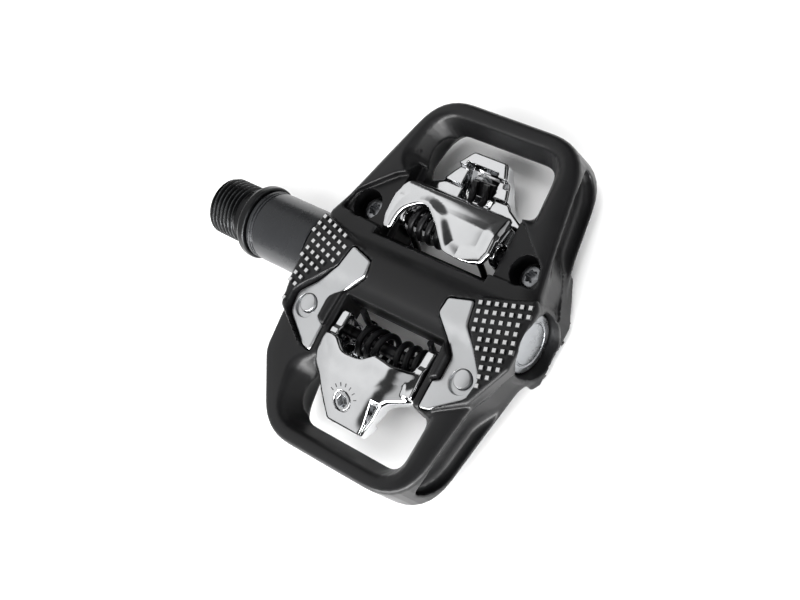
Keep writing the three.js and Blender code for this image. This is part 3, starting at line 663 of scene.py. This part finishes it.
def tension_screw(x, y, z):
    """A set screw with a hexagonal socket and a narrow tip."""
    dx, aside, depth = by_tension_screw(x, y, z)
    radius = np.hypot(dx, aside)
    body = smooth_max(radius - TENSION_SCREW_R, np.maximum(0.05 - depth, depth - 3.0), 0.25)
    tip = smooth_max(radius - 1.2, np.maximum(2.5 - depth, depth - SCREW_TIP), 0.2)
    screw = np.minimum(body, tip)
    socket = smooth_max(hexagon(dx, aside, 2.5), depth - 1.7, 0.1)
    return cut(screw, socket, 0.15)


def torx_screw(x, y, z):
    """A round head with a six-lobed recess, at the middle of its own frame."""
    radius = np.hypot(x, y)
    head = smooth_max(radius - 2.6, np.maximum(z - 1.1 + 0.03 * radius**2, -0.9 - z), 0.35)
    shank = np.maximum(radius - 1.0, np.maximum(-4.3 - z, z + 0.8))
    lobes = 1.33 + 0.2 * np.cos(6 * np.arctan2(y, x))
    return cut(np.minimum(head, shank), np.maximum(radius - lobes, -0.5 - z), 0.12)


def plate_stud(x, y, z):
    """A wear plate's threaded stud with its low round head, at the middle of its own frame."""
    radius = np.hypot(x, y)
    head = smooth_max(radius - 2.12, np.maximum(z - PLATE_Z - 0.32 + 0.03 * radius**2, 5.1 - z), 0.3)
    shank = np.maximum(radius - 1.9, np.maximum(1.3 - z, z - 5.3))
    return cut(np.minimum(head, shank), np.maximum(radius - 1.3, z - 4.6), 0.1)


# ---- Geometry Nodes ----
def add(tree, kind, sockets=None, **settings):
    """Adds a node with its settings, and links or sets its inputs."""
    made = tree.nodes.new(kind)
    for name, value in settings.items():
        setattr(made, name, value)
    for key, value in (sockets or {}).items():
        if isinstance(value, bpy.types.NodeSocket):
            tree.links.new(value, made.inputs[key])
        else:
            made.inputs[key].default_value = value
    return made


def new_tree(name, **inputs):
    """An empty node group with a Geometry input and output, and named inputs of the given socket kinds."""
    tree = bpy.data.node_groups.new(name, "GeometryNodeTree")
    tree.interface.new_socket("Geometry", in_out="OUTPUT", socket_type="NodeSocketGeometry")
    tree.interface.new_socket("Geometry", in_out="INPUT", socket_type="NodeSocketGeometry")
    for label, kind in inputs.items():
        tree.interface.new_socket(label.replace("_", " "), in_out="INPUT", socket_type=kind)
    return tree, tree.nodes.new("NodeGroupInput").outputs


def grown_by(made, tree, **values):
    """Runs a node group on an object with its inputs set by their identifiers, and keeps the plain mesh."""
    modifier = made.modifiers.new("nodes", "NODES")
    modifier.node_group = tree
    names = {s.name: s.identifier for s in tree.interface.items_tree if s.in_out == "INPUT"}
    for label, value in values.items():
        modifier[names[label.replace("_", " ")]] = value
    return baked(made)


def close_tree(tree, geometry, material):
    """Ends a node group with real geometry in its material."""
    real = add(tree, "GeometryNodeRealizeInstances", {0: geometry})
    coated = add(tree, "GeometryNodeSetMaterial", {"Geometry": real.outputs[0], "Material": material})
    add(tree, "NodeGroupOutput", {0: coated.outputs[0]})
    return tree


def on_points(tree, points, shape):
    """One copy of a shape on each point, turned by the point's own angles."""
    turn = add(tree, "GeometryNodeInputNamedAttribute", {"Name": "turn"}, data_type="FLOAT_VECTOR")
    turned = add(tree, "FunctionNodeEulerToRotation", {0: turn.outputs[0]})
    sockets = {"Points": points, "Instance": shape, "Rotation": turned.outputs[0]}
    return add(tree, "GeometryNodeInstanceOnPoints", sockets).outputs[0]


def post_tree():
    """Small square posts with bevelled tops, one on each point."""
    tree, given = new_tree(
        "traction_posts", Width="NodeSocketFloat", Height="NodeSocketFloat", Material="NodeSocketMaterial"
    )
    width, height = given["Width"], given["Height"]
    size = add(tree, "ShaderNodeCombineXYZ", {"X": width, "Y": width, "Z": height})
    block = add(tree, "GeometryNodeMeshCube", {"Size": size.outputs[0]})
    normal = add(tree, "GeometryNodeInputNormal")
    upright = add(tree, "ShaderNodeSeparateXYZ", {0: normal.outputs[0]})
    is_top = add(tree, "FunctionNodeCompare", {0: upright.outputs["Z"], 1: 0.5}, operation="GREATER_THAN")
    taper = add(
        tree, "GeometryNodeExtrudeMesh",
        {"Mesh": block.outputs["Mesh"], "Selection": is_top.outputs[0], "Offset Scale": POST_BEVEL * MM},
    )
    shrink = add(
        tree, "GeometryNodeScaleElements",
        {"Geometry": taper.outputs["Mesh"], "Selection": taper.outputs["Top"], "Scale": 0.8},
    )
    # The top faces are marked bright, for a painted highlight on the posts' flat tops.
    bright = add(
        tree, "GeometryNodeStoreNamedAttribute",
        {"Geometry": shrink.outputs[0], "Name": "bright", "Value": taper.outputs["Top"]},
        data_type="FLOAT", domain="FACE",
    )
    return close_tree(tree, on_points(tree, given["Geometry"], bright.outputs[0]), given["Material"])


def copy_tree():
    """Copies of one shape, one on each point."""
    tree, given = new_tree("placed_copies", Shape="NodeSocketObject", Material="NodeSocketMaterial")
    shape = add(tree, "GeometryNodeObjectInfo", {"Object": given["Shape"]})
    copies = on_points(tree, given["Geometry"], shape.outputs["Geometry"])
    return close_tree(tree, copies, given["Material"])


def wire_tree():
    """Round wire along a path of edges."""
    tree, given = new_tree(
        "bent_wire", Wire_Radius="NodeSocketFloat", Sides="NodeSocketInt", Step="NodeSocketFloat",
        Material="NodeSocketMaterial",
    )
    curve = add(tree, "GeometryNodeMeshToCurve", {"Mesh": given["Geometry"]})
    smooth = add(
        tree, "GeometryNodeCurveSplineType", {"Curve": curve.outputs[0]}, spline_type="CATMULL_ROM"
    )
    even = add(
        tree, "GeometryNodeResampleCurve", {"Curve": smooth.outputs[0], "Length": given["Step"]},
        mode="LENGTH",
    )
    section = add(
        tree, "GeometryNodeCurvePrimitiveCircle",
        {"Resolution": given["Sides"], "Radius": given["Wire Radius"]}, mode="RADIUS",
    )
    wire = add(
        tree, "GeometryNodeCurveToMesh",
        {"Curve": even.outputs[0], "Profile Curve": section.outputs[0], "Fill Caps": True},
    )
    polished = add(tree, "GeometryNodeSetShadeSmooth", {"Geometry": wire.outputs[0], "Shade Smooth": True})
    return close_tree(tree, polished.outputs[0], given["Material"])


def points_object(name, places, turns):
    """A mesh of bare points in millimetres, each with its angles in radians."""
    made = linked(name, plain_mesh(name, np.array(places) * MM, np.zeros((0, 3), int)))
    turn = made.data.attributes.new("turn", "FLOAT_VECTOR", "POINT")
    turn.data.foreach_set("vector", np.array(turns, np.float32).ravel())
    return made


# ---- Materials ----
def srgb(hex_colour):
    """An sRGB hex colour as linear RGBA."""
    parts = [int(hex_colour[i:i + 2], 16) / 255 for i in (0, 2, 4)]
    return (*[p / 12.92 if p <= 0.04045 else ((p + 0.055) / 1.055) ** 2.4 for p in parts], 1.0)


WAVE_SCALE = 2 * math.pi / 20  # of a wave texture whose bands are a unit apart


def finish(name, dark, light, metallic, roughness, grain, cloud, relief, edge_wear_and_sheen=None, rings=0.0, **sockets):
    """A material whose colour and roughness drift in soft clouds and whose surface has a fine grain.

    grain and cloud are sizes in millimetres, relief is the grain's height in millimetres, roughness is a
    pair, the edge colour is painted on outer edges as rubbed wear and, on the forged body, also as a
    painted sheen where the edges catch the light, and rings is the spacing in millimetres of lathe marks
    along X.
    """
    material = bpy.data.materials.new(name)
    material.use_nodes = True
    tree = material.node_tree
    tree.nodes.clear()
    place = add(tree, "ShaderNodeTexCoord").outputs["Object"]
    patches = add(tree, "ShaderNodeTexNoise", {"Vector": place, "Scale": 1 / (cloud * MM), "Detail": 3.0})
    specks = add(tree, "ShaderNodeTexNoise", {"Vector": place, "Scale": 1 / (grain * MM), "Detail": 2.0})
    colour = add(
        tree, "ShaderNodeMix", {0: patches.outputs[0], 6: srgb(dark), 7: srgb(light)}, data_type="RGBA"
    ).outputs[2]
    height = specks.outputs[0]
    if rings:
        marks = add(
            tree, "ShaderNodeTexWave",
            {"Vector": place, "Scale": WAVE_SCALE / (rings * MM), "Distortion": 0.6, "Detail": 2.0},
            bands_direction="X",
        )
        height = add(tree, "ShaderNodeMath", {0: height, 1: marks.outputs[1]}, operation="ADD").outputs[0]
    if edge_wear_and_sheen:
        edge = add(tree, "ShaderNodeAttribute", attribute_name="edge").outputs["Fac"]
        # The wear, and on the forged body a painted sheen, start on gentle edges and are strongest on sharp
        # ones, broken up by the clouds.
        wear_and_sheen_level = add(tree, "ShaderNodeMapRange", {0: edge, 1: 0.25, 2: 1.1, 3: 0.0, 4: 0.8})
        broken = add(
            tree, "ShaderNodeMath", {0: wear_and_sheen_level.outputs[0], 1: patches.outputs[0]}, operation="MULTIPLY"
        )
        colour = add(
            tree, "ShaderNodeMix", {0: broken.outputs[0], 6: colour, 7: srgb(edge_wear_and_sheen)}, data_type="RGBA"
        ).outputs[2]
    rough = add(
        tree, "ShaderNodeMapRange",
        {0: patches.outputs[0], 1: 0.3, 2: 0.7, 3: roughness[0], 4: roughness[1]},
    )
    bump = add(tree, "ShaderNodeBump", {"Strength": 1.0, "Distance": relief * MM, "Height": height})
    shader = add(
        tree, "ShaderNodeBsdfPrincipled",
        {
            "Base Color": colour, "Metallic": metallic, "Roughness": rough.outputs[0],
            "Normal": bump.outputs[0], **sockets,
        },
    )
    add(tree, "ShaderNodeOutputMaterial", {"Surface": shader.outputs[0]})
    return material


def highlit_post_tops():
    """Black anodised posts whose flat tops are painted bright silver metal: a painted highlight where the
    light falls on them.
    """
    material = finish(
        "anodised_aluminium_painted_highlight_tops", "dcddde", "efefef", 1.0, (0.3, 0.42), 0.12, 1.0, 0.004
    )
    tree = material.node_tree
    shader = next(n for n in tree.nodes if n.type == "BSDF_PRINCIPLED")
    bright = add(tree, "ShaderNodeAttribute", attribute_name="bright").outputs["Fac"]
    highlight_colour = shader.inputs["Base Color"].links[0].from_socket
    # The tops take the bright colour as a painted highlight; the sides stay black.
    colour = add(tree, "ShaderNodeMix", {0: bright, 6: srgb("131415"), 7: highlight_colour}, data_type="RGBA")
    metal = add(tree, "ShaderNodeMapRange", {0: bright, 3: 0.2, 4: 1.0})
    tree.links.new(colour.outputs[2], shader.inputs["Base Color"])
    tree.links.new(metal.outputs[0], shader.inputs["Metallic"])
    return material


FINISHES = {}


def make_finishes():
    """Every finish of the pedal, by a short name."""
    FINISHES.update(
        # Black anodising over a bead-blasted forging: satin black, with edges painted towards grey for
        # rubbed wear and a painted sheen.
        forged=finish(
            "black_anodised_forged_aluminium", "0b0b0c", "101011", 0.0, (0.3, 0.4), 0.22, 9.0, 0.005,
            edge_wear_and_sheen="2a2b2c", **{"Specular IOR Level": 0.34},
        ),
        # Dark hard anodising on a turned tube: grey satin with faint lathe marks round it.
        sleeve=finish(
            "hard_anodised_turned_aluminium", "232426", "2b2c2e", 0.45, (0.24, 0.32), 0.15, 6.0, 0.003,
            edge_wear_and_sheen="55575a", rings=0.25,
        ),
        # Bright chromium over a cast and polished claw: near-mirror, with the casting's slow waves.
        chrome=finish(
            "polished_chrome_on_cast_steel", "d4d5d7", "e6e7e8", 1.0, (0.06, 0.12), 4.0, 5.0, 0.01,
        ),
        # Stamped stainless sheet tumbled with fine media: pale satin with short random scuffs.
        plate=finish(
            "tumbled_stainless_sheet", "ccced0", "dfe0e1", 1.0, (0.28, 0.4), 0.16, 3.5, 0.004,
            edge_wear_and_sheen="e6e6e6",
        ),
        # Stainless turned and polished heads: smoother and brighter than the sheet round them.
        screw=finish("polished_stainless_heads", "b5b7b9", "d0d1d3", 1.0, (0.16, 0.25), 0.2, 2.0, 0.002),
        # Zinc-plated screws with a dulled chromate film: darker than the stainless round them.
        zinc=finish("dull_zinc_plated_screws", "96989b", "b0b2b5", 1.0, (0.24, 0.36), 0.2, 1.5, 0.003),
        # Black oxide on rolled steel thread: deep grey with bright lines where crests rub the crank.
        thread=finish(
            "black_oxide_rolled_steel", "0c0c0d", "151617", 0.6, (0.24, 0.34), 0.14, 3.0, 0.003,
            edge_wear_and_sheen="4c4e50",
        ),
        # Nickel plating on a turned cap: mid grey and satin.
        cap=finish("nickel_plated_turned_cap", "8a8c8e", "9b9da0", 1.0, (0.24, 0.34), 0.2, 3.0, 0.003),
        # Oiled music wire: near black with a soft sheen; its darkness is partly painted shade for the
        # hollow between the claw's arms.
        wire=finish("oiled_wire_with_painted_shade", "0c0c0d", "141416", 0.3, (0.3, 0.42), 0.2, 2.0, 0.003),
        # Ground and lapped bearing steel: grey mirror with very fine grinding marks.
        ground=finish(
            "ground_bearing_steel", "9ea1a5", "b4b7ba", 1.0, (0.1, 0.18), 0.15, 2.0, 0.001, rings=0.2,
        ),
        # Moulded nitrile rubber: matt black with a dusty bloom.
        rubber=finish("moulded_nitrile_rubber", "121212", "1e1e1e", 0.0, (0.6, 0.75), 0.3, 2.5, 0.01),
        # Sintered bronze: warm, porous and dull.
        bronze=finish("sintered_bronze", "8a6534", "a87c45", 0.9, (0.38, 0.5), 0.12, 2.0, 0.008),
        # Paint filled into the tension scale's marks: matt dark grey.
        marks=finish("dark_filled_scale_marks", "2a2b2c", "38393a", 0.0, (0.5, 0.6), 0.2, 1.0, 0.002),
        tops=highlit_post_tops(),
    )


# ---- Settings that a user may change ----
class PedalSettings(bpy.types.PropertyGroup):
    """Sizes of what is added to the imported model, and the strength of its light."""

    post_width: bpy.props.FloatProperty(
        name="Post width", description="Side of a square traction post", default=1.05 * MM, unit="LENGTH"
    )
    post_height: bpy.props.FloatProperty(
        name="Post height", description="How far a post stands above its deck", default=0.5 * MM,
        unit="LENGTH",
    )
    post_pitch: bpy.props.FloatProperty(
        name="Post pitch", description="Spacing of the traction posts", default=1.98 * MM, unit="LENGTH"
    )
    post_turn: bpy.props.FloatProperty(
        name="Post turn", description="Turn of the outboard rows of posts", default=math.radians(15.5),
        subtype="ANGLE",
    )
    wire_radius: bpy.props.FloatProperty(
        name="Wire radius", description="Radius of the claw springs' wire", default=0.75 * MM, unit="LENGTH"
    )
    mark_count: bpy.props.IntProperty(
        name="Scale marks", description="Marks in the arc round each tension screw", default=7
    )
    light: bpy.props.FloatProperty(
        name="Light", description="Strength of the whole studio's light", default=1.0, subtype="FACTOR"
    )


def settings():
    return bpy.context.scene.pedal_settings


def space_round(node, margin=1.0):
    """The box round a node in millimetres, with x from the binding's middle plane."""
    low, high = box_mm(node)
    return low - margin - (MID_X, 0, 0), high + margin - (MID_X, 0, 0)


BOTH_SIDES = {"top": False, "bottom": True}
ENDS = ("outboard", "inboard")


def single(name, field, step, body, slot, coat, node):
    """The one piece of a shape, in the place of its node."""
    (made,) = cast(field, *space_round(node), step, {name: (False, False)})
    piece(made, body, slot, FINISHES[coat], node)


def pair(name, field, step, body, slot, coat, node):
    """The top and bottom pieces of one shape. In body, {side} stands for the side."""
    places = {f"{side}_{name}": (False, flip) for side, flip in BOTH_SIDES.items()}
    for made, side in zip(cast(field, *space_round(f"top_{node}"), step, places), BOTH_SIDES):
        piece(made, body.format(side=side), slot, FINISHES[coat], f"{side}_{node}")


class PEDAL_OT_body(bpy.types.Operator):
    """Model the forged cage and barrel"""

    bl_idname = "pedal.body"
    bl_label = "Forged body"

    def execute(self, context):
        single("forged_cage", forged_body, 0.5, "pedal", "forged_body", "forged", "pedal_body")
        return {"FINISHED"}


class PEDAL_OT_posts(bpy.types.Operator):
    """Stand square traction posts on the four decks"""

    bl_idname = "pedal.posts"
    bl_label = "Traction posts"

    def execute(self, context):
        given = settings()
        pitch, turn, places, turns = given.post_pitch / MM, given.post_turn, [], []
        steps = np.arange(-POST_ROWS, POST_ROWS + 1) * pitch
        for outline, centre, angle in (
            (PADS[0], FIRST_OUTBOARD_POST, turn), (PADS[1], FIRST_INBOARD_POST, -turn),
        ):
            for a, b in itertools.product(steps, steps):
                x = centre[0] + a * math.cos(angle) - b * math.sin(angle)
                y = centre[1] + a * math.sin(angle) + b * math.cos(angle)
                at_x, at_y = np.array([x]), np.array([y])
                on_deck = inside_outline(outline, at_x, at_y)[0] < -POST_FROM_EDGE
                by_plate = inside_outline(PLATE_RING, np.abs(at_x), at_y)[0] < POST_FROM_PLATE
                if on_deck and not by_plate and abs(x) > POST_MIN_X:
                    height = PAD_Z + given.post_height / MM / 2 - POST_ROOT
                    places += [(MID_X + x, y, height), (MID_X + x, -y, -height)]
                    turns += [(0, 0, angle), (math.pi, 0, -angle)]
        points = points_object("traction_posts", places, turns)
        posts = grown_by(
            points, post_tree(), Width=given.post_width, Height=given.post_height, Material=FINISHES["tops"]
        )
        piece(posts, "pedal", "forged_body", FINISHES["tops"])
        return {"FINISHED"}


class PEDAL_OT_plates(bpy.types.Operator):
    """Model the four bent wear plates"""

    bl_idname = "pedal.plates"
    bl_label = "Wear plates"

    def execute(self, context):
        places = {
            f"{side}_plate_{end}": (end == "inboard", flip)
            for (side, flip), end in itertools.product(BOTH_SIDES.items(), ENDS)
        }
        plates = cast(wear_plate, *space_round("top_wear_plate_outboard"), 0.24, places)
        for plate, name in zip(plates, places):
            piece(plate, "pedal", "stainless", FINISHES["plate"], name.replace("plate", "wear_plate"))
        return {"FINISHED"}


class PEDAL_OT_fasteners(bpy.types.Operator):
    """Set the plates' studs and the torx screws that hold them"""

    bl_idname = "pedal.fasteners"
    bl_label = "Studs and torx screws"

    def execute(self, context):
        tree = copy_tree()
        corners = list(itertools.product((SCREW_X, -SCREW_X), (1, -1)))
        for name, field, y, reach, node, coat in (
            ("plate_studs", plate_stud, -SCREW_Y, 2.6, "plate_stud", "plate"),
            ("torx_screws", torx_screw, SCREW_Y, 3.0, "torx_screw", "zinc"),
        ):
            low, high = (-reach, -reach, -5), (reach, reach, 7.5)
            (shape,) = cast(field, low, high, 0.13, {f"{name}_shape": (False, False)})
            places = [(x, y * k, 0) for x, k in corners]
            turns = [(0 if k > 0 else math.pi, 0, 0) for x, k in corners]
            made = grown_by(points_object(name, places, turns), tree, Shape=shape, Material=FINISHES[coat])
            bpy.data.objects.remove(shape)
            nodes = [f"{side}_{node}_{end}" for side, end in itertools.product(BOTH_SIDES, ENDS)]
            piece(made, "pedal", "stainless", FINISHES[coat], *nodes)
        return {"FINISHED"}


class PEDAL_OT_claws(bpy.types.Operator):
    """Model the fixed front claws and the sprung rear claws"""

    bl_idname = "pedal.claws"
    bl_label = "Claws"

    def execute(self, context):
        pair("hood", front_claw, 0.3, "pedal", "chrome", "chrome", "front_claw")
        pair("jaw", rear_claw, 0.28, "{side}_claw", "chrome", "chrome", "rear_claw")
        return {"FINISHED"}


class PEDAL_OT_tension(bpy.types.Operator):
    """Model the tension screws, their scales and the claw springs"""

    bl_idname = "pedal.tension"
    bl_label = "Tension screws and springs"

    def execute(self, context):
        pair(
            "set_screw", tension_screw, 0.13, "{side}_tension_screw", "black_steel", "screw",
            "tension_screw",
        )
        self.scales(settings().mark_count)
        self.springs(settings().wire_radius)
        return {"FINISHED"}

    def scales(self, count):
        """An arc of plain marks round each tension screw's seat."""
        tree = copy_tree()
        shape = linked("mark_shape", bpy.data.meshes.new("mark_shape"))
        mark = bmesh.new()
        bmesh.ops.create_cube(mark, size=1, matrix=Matrix.Diagonal((*(MM * size for size in MARK), 1)))
        mark.to_mesh(shape.data)
        mark.free()
        slope = Matrix.Rotation(TENSION_TILT, 3, "X")
        for side, k in (("top", 1), ("bottom", -1)):
            places, turns = [], []
            for angle in np.linspace(*SCALE_SPAN, count):
                spoke = slope @ Vector((SCALE_R * math.cos(angle), SCALE_R * math.sin(angle), 0))
                centre = TENSION_HEAD + np.array(spoke)
                lie = slope @ Matrix.Rotation(angle, 3, "Z")
                if k < 0:
                    lie = Matrix.Rotation(math.pi, 3, "X") @ lie
                places.append((MID_X + centre[0], k * centre[1], k * centre[2]))
                turns.append(tuple(lie.to_euler("XYZ")))
            points = points_object(f"{side}_tension_scale", places, turns)
            scale = grown_by(points, tree, Shape=shape, Material=FINISHES["marks"])
            piece(scale, f"{side}_claw", "black_steel", FINISHES["marks"])
        bpy.data.objects.remove(shape)

    def springs(self, wire_radius):
        """Torsion springs about the pivot pins: each a coil, with a free leg that is bent up under the
        tension plate."""
        slide = np.array([0, math.sin(TENSION_TILT), -math.cos(TENSION_TILT)])
        back = np.array([0, -math.cos(TENSION_TILT), -math.sin(TENSION_TILT)])
        under = TENSION_HEAD + slide * (SCREW_TIP + GAP * 2 + TENSION_PLATE_T + wire_radius / MM)
        coil = [(COIL_OUT, -BARREL_R - 0.85, PIVOT_Z + 4.9), (COIL_OUT, PIVOT_Y + 4.2, PIVOT_Z + 2.4)]
        for turn in np.linspace(0, COIL_TURNS, COIL_POINTS):
            x = COIL_OUT + (COIL_IN - COIL_OUT) * turn / COIL_TURNS
            angle = -turn * 2 * math.pi
            coil.append((x, PIVOT_Y + math.cos(angle) * COIL_R, PIVOT_Z + math.sin(angle) * COIL_R))
        # The wire leaves the coil below the nose, and its leg is bent up against the plate's lower face.
        bend = np.array((COIL_IN, PIVOT_Y - 4.0, PIVOT_Z - 2.1))
        tips = [np.array((COIL_IN, *(under + back * reach)[1:])) for reach in (-2.6, 0.4, 1.6)]
        coil += [bend, bend + (tips[0] - bend) * 0.5]
        leg = [bend + (tips[0] - bend) * 0.35, *tips]
        turned, pressed = (PIVOT_Y - 1.0, bend[1]), (bend[1] - 3.3, tips[0][1])
        for (side, k), (end, sign) in itertools.product(
            (("top", 1), ("bottom", -1)), (("outboard", 1), ("inboard", -1))
        ):
            for name, path, bodies, (start, stop) in (
                (f"{side}_coil_{end}", coil, ("pedal", f"{side}_claw"), turned),
                (f"{side}_leg_{end}", leg, (f"{side}_claw", f"{side}_tension_plate"), pressed),
            ):
                spring = self.wire(name, np.array(path) * (sign, k, k) + (MID_X, 0, 0), wire_radius)
                if "coil" in name:
                    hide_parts(f"{side}_spring_{end}")
                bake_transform(spring)

    def wire(self, name, places, radius):
        """Round spring wire through some places in millimetres."""
        mesh = bpy.data.meshes.new(name)
        mesh.from_pydata((places * MM).tolist(), [(i, i + 1) for i in range(len(places) - 1)], [])
        made = grown_by(
            linked(name, mesh), wire_tree(), Wire_Radius=radius, Sides=WIRE_SIDES, Step=WIRE_STEP * MM,
            Material=FINISHES["wire"],
        )
        return made


class PEDAL_OT_spindle(bpy.types.Operator):
    """Model the threaded spindle, the barrel's sleeve and the end cap"""

    bl_idname = "pedal.spindle"
    bl_label = "Spindle, sleeve and cap"

    def execute(self, context):
        single("threaded_spindle", spindle_end, 0.25, "spindle", "black_steel", "thread", "spindle")
        single("turned_sleeve", barrel_sleeve, 0.24, "pedal", "sleeve", "sleeve", "barrel_sleeve")
        single("bearing_cap", end_cap, 0.2, "pedal", "chrome", "cap", "end_cap")
        return {"FINISHED"}


class PEDAL_OT_inner_parts(bpy.types.Operator):
    """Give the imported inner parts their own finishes"""

    bl_idname = "pedal.inner_parts"
    bl_label = "Inner parts"

    def execute(self, context):
        # The pivot pins and tension plates take the near-black wire finish: painted shade for the dark
        # hollow between the claw's arms.
        kept = {
            "seal": "rubber", "bush": "bronze", "bearing": "ground", "lock": "ground", "pin": "wire",
            "tension_plate": "wire",
        }
        for name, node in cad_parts.items():
            for word, coat in kept.items():
                if word in name:
                    node.material_slots[0].material = FINISHES[coat]
        return {"FINISHED"}


# Lengths below are in metres, but for the lens and the sensor, which are in millimetres.
FLOOR_REACH = 3.0
FLOOR_GAP = 0.0005
CLIP_START = 0.01
LENS, SENSOR_WIDTH = 67.2, 36
CAMERA_AZIMUTH, CAMERA_ELEVATION = -6.764, 54.816
CAMERA_ROLL = math.radians(56.429)
CAMERA_AIM = Vector((10.789, -3.255, 0)) * MM
CAMERA_DISTANCE = 333.82 * MM


def towards(azimuth, elevation):
    """The direction at a bearing and a height angle in degrees."""
    a, e = math.radians(azimuth), math.radians(elevation)
    return Vector((math.cos(a) * math.cos(e), math.sin(a) * math.cos(e), math.sin(e)))


class PEDAL_OT_stage(bpy.types.Operator):
    """Lay a pale floor and set soft studio lights and the camera"""

    bl_idname = "pedal.stage"
    bl_label = "Stage"

    def execute(self, context):
        # Plain sRGB keeps white paper white and black anodising black.
        context.scene.view_settings.view_transform = "Standard"
        self.floor()
        self.sky(settings().light)
        self.lights(settings().light)
        self.camera()
        return {"FINISHED"}

    def floor(self):
        floor = linked("floor", bpy.data.meshes.new("floor"))
        sheet = bmesh.new()
        bmesh.ops.create_grid(sheet, x_segments=1, y_segments=1, size=FLOOR_REACH)
        bmesh.ops.translate(sheet, verts=sheet.verts, vec=(0, 0, CAD_BOX[0][2] - FLOOR_GAP))
        sheet.to_mesh(floor.data)
        sheet.free()
        # Seamless paper: matt, almost white.
        floor.data.materials.append(
            finish("seamless_paper", "f4f4f4", "fafafa", 0.0, (0.9, 1.0), 0.5, 60.0, 0.01)
        )

    def sky(self, strength):
        """A pale room with dark gaps between its panels, for polished metal to reflect."""
        world = bpy.data.worlds.new("studio")
        world.use_nodes = True
        tree = world.node_tree
        tree.nodes.clear()
        direction = add(tree, "ShaderNodeTexCoord").outputs["Generated"]
        walls = []
        # Each wall's brightness runs along a direction: dark gaps lie beside and beyond the overhead panel.
        for along, stops in (
            ((1, 0, 0), (
                (-1.0, 0.8), (-0.55, 1.0), (-0.4, 0.95), (-0.33, 0.05), (-0.12, 0.03), (0.0, 0.6),
                (1.0, 0.8),
            )),
            ((0.5, 0.87, 0), (
                (-1.0, 0.85), (-0.5, 0.95), (0.19, 1.0), (0.26, 0.08), (0.6, 0.05), (0.7, 0.5), (1.0, 0.6),
            )),
        ):
            reach = add(tree, "ShaderNodeVectorMath", {0: direction, 1: along}, operation="DOT_PRODUCT")
            level = add(tree, "ShaderNodeMapRange", {0: reach.outputs["Value"], 1: -1.0, 2: 1.0})
            ramp = add(tree, "ShaderNodeValToRGB", {0: level.outputs[0]})
            while len(ramp.color_ramp.elements) < len(stops):
                ramp.color_ramp.elements.new(0.5)
            for element, (where, grey) in zip(ramp.color_ramp.elements, stops):
                element.position = (where + 1) / 2
                element.color = (grey, grey, grey, 1)
            walls.append(ramp.outputs[0])
        room = add(
            tree, "ShaderNodeMix", {0: 1.0, 6: walls[0], 7: walls[1]}, data_type="RGBA",
            blend_type="MULTIPLY",
        )
        glow = add(tree, "ShaderNodeBackground", {"Color": room.outputs[2], "Strength": strength})
        add(tree, "ShaderNodeOutputWorld", {"Surface": glow.outputs[0]})
        bpy.context.scene.world = world

    def lights(self, strength):
        """Soft boxes. Each has a width, a height, a distance, a bearing, a height angle, a power, and
        whether it shows in reflections."""
        for name, width, height, distance, azimuth, elevation, power, mirrored in (
            ("key_box", 0.7, 0.7, 0.9, -100, 50, 7.0, False),
            ("front_box", 0.7, 0.7, 0.9, 100, 60, 7.0, False),
            ("rear_strip", 1.1, 0.3, 0.8, -80, 14, 15.0, True),
            ("side_strip", 0.7, 0.3, 0.8, -35, 14, 7.0, True),
        ):
            lamp = bpy.data.lights.new(name, "AREA")
            lamp.shape = "RECTANGLE"
            lamp.size = width
            lamp.size_y = height
            lamp.energy = power * strength
            made = bpy.data.objects.new(name, lamp)
            made.visible_glossy = mirrored
            made.location = towards(azimuth, elevation) * distance
            made.rotation_euler = made.location.to_track_quat("Z", "Y").to_euler()
            bpy.context.scene.collection.objects.link(made)

    def camera(self):
        """A camera that circles to a bearing and a height angle, and is rolled about its own axis."""
        lens = bpy.data.cameras.new("camera")
        lens.lens = LENS
        lens.sensor_width = SENSOR_WIDTH
        lens.clip_start = CLIP_START
        made = bpy.data.objects.new("camera", lens)
        out = towards(CAMERA_AZIMUTH, CAMERA_ELEVATION)
        right = Vector((0, 0, 1)).cross(out).normalized()
        up = out.cross(right)
        across = right * math.cos(CAMERA_ROLL) - up * math.sin(CAMERA_ROLL)
        upright = up * math.cos(CAMERA_ROLL) + right * math.sin(CAMERA_ROLL)
        turned = Matrix((across, upright, out)).transposed()
        made.matrix_world = Matrix.Translation(CAMERA_AIM + out * CAMERA_DISTANCE) @ turned.to_4x4()
        bpy.context.scene.collection.objects.link(made)
        bpy.context.scene.camera = made


OPERATORS = (
    PEDAL_OT_body, PEDAL_OT_posts, PEDAL_OT_plates, PEDAL_OT_fasteners, PEDAL_OT_claws, PEDAL_OT_tension,
    PEDAL_OT_spindle, PEDAL_OT_inner_parts, PEDAL_OT_stage,
)


class PEDAL_PT_panel(bpy.types.Panel):
    """The pedal's settings and its operators"""

    bl_idname = "PEDAL_PT_panel"
    bl_label = "Clipless pedal"
    bl_space_type = "VIEW_3D"
    bl_region_type = "UI"
    bl_category = "Pedal"

    def draw(self, context):
        for name in PedalSettings.__annotations__:
            self.layout.prop(context.scene.pedal_settings, name)
        for operator in OPERATORS:
            self.layout.operator(operator.bl_idname)


CLASSES = (PedalSettings, *OPERATORS, PEDAL_PT_panel)


def register():
    for cls in CLASSES:
        bpy.utils.register_class(cls)
    bpy.types.Scene.pedal_settings = bpy.props.PointerProperty(type=PedalSettings)


def unregister():
    del bpy.types.Scene.pedal_settings
    for cls in reversed(CLASSES):
        bpy.utils.unregister_class(cls)


def main():
    register()
    make_finishes()
    for operator in OPERATORS:
        category, name = operator.bl_idname.split(".")
        getattr(getattr(bpy.ops, category), name)()


if __name__ == "__main__":
    main()
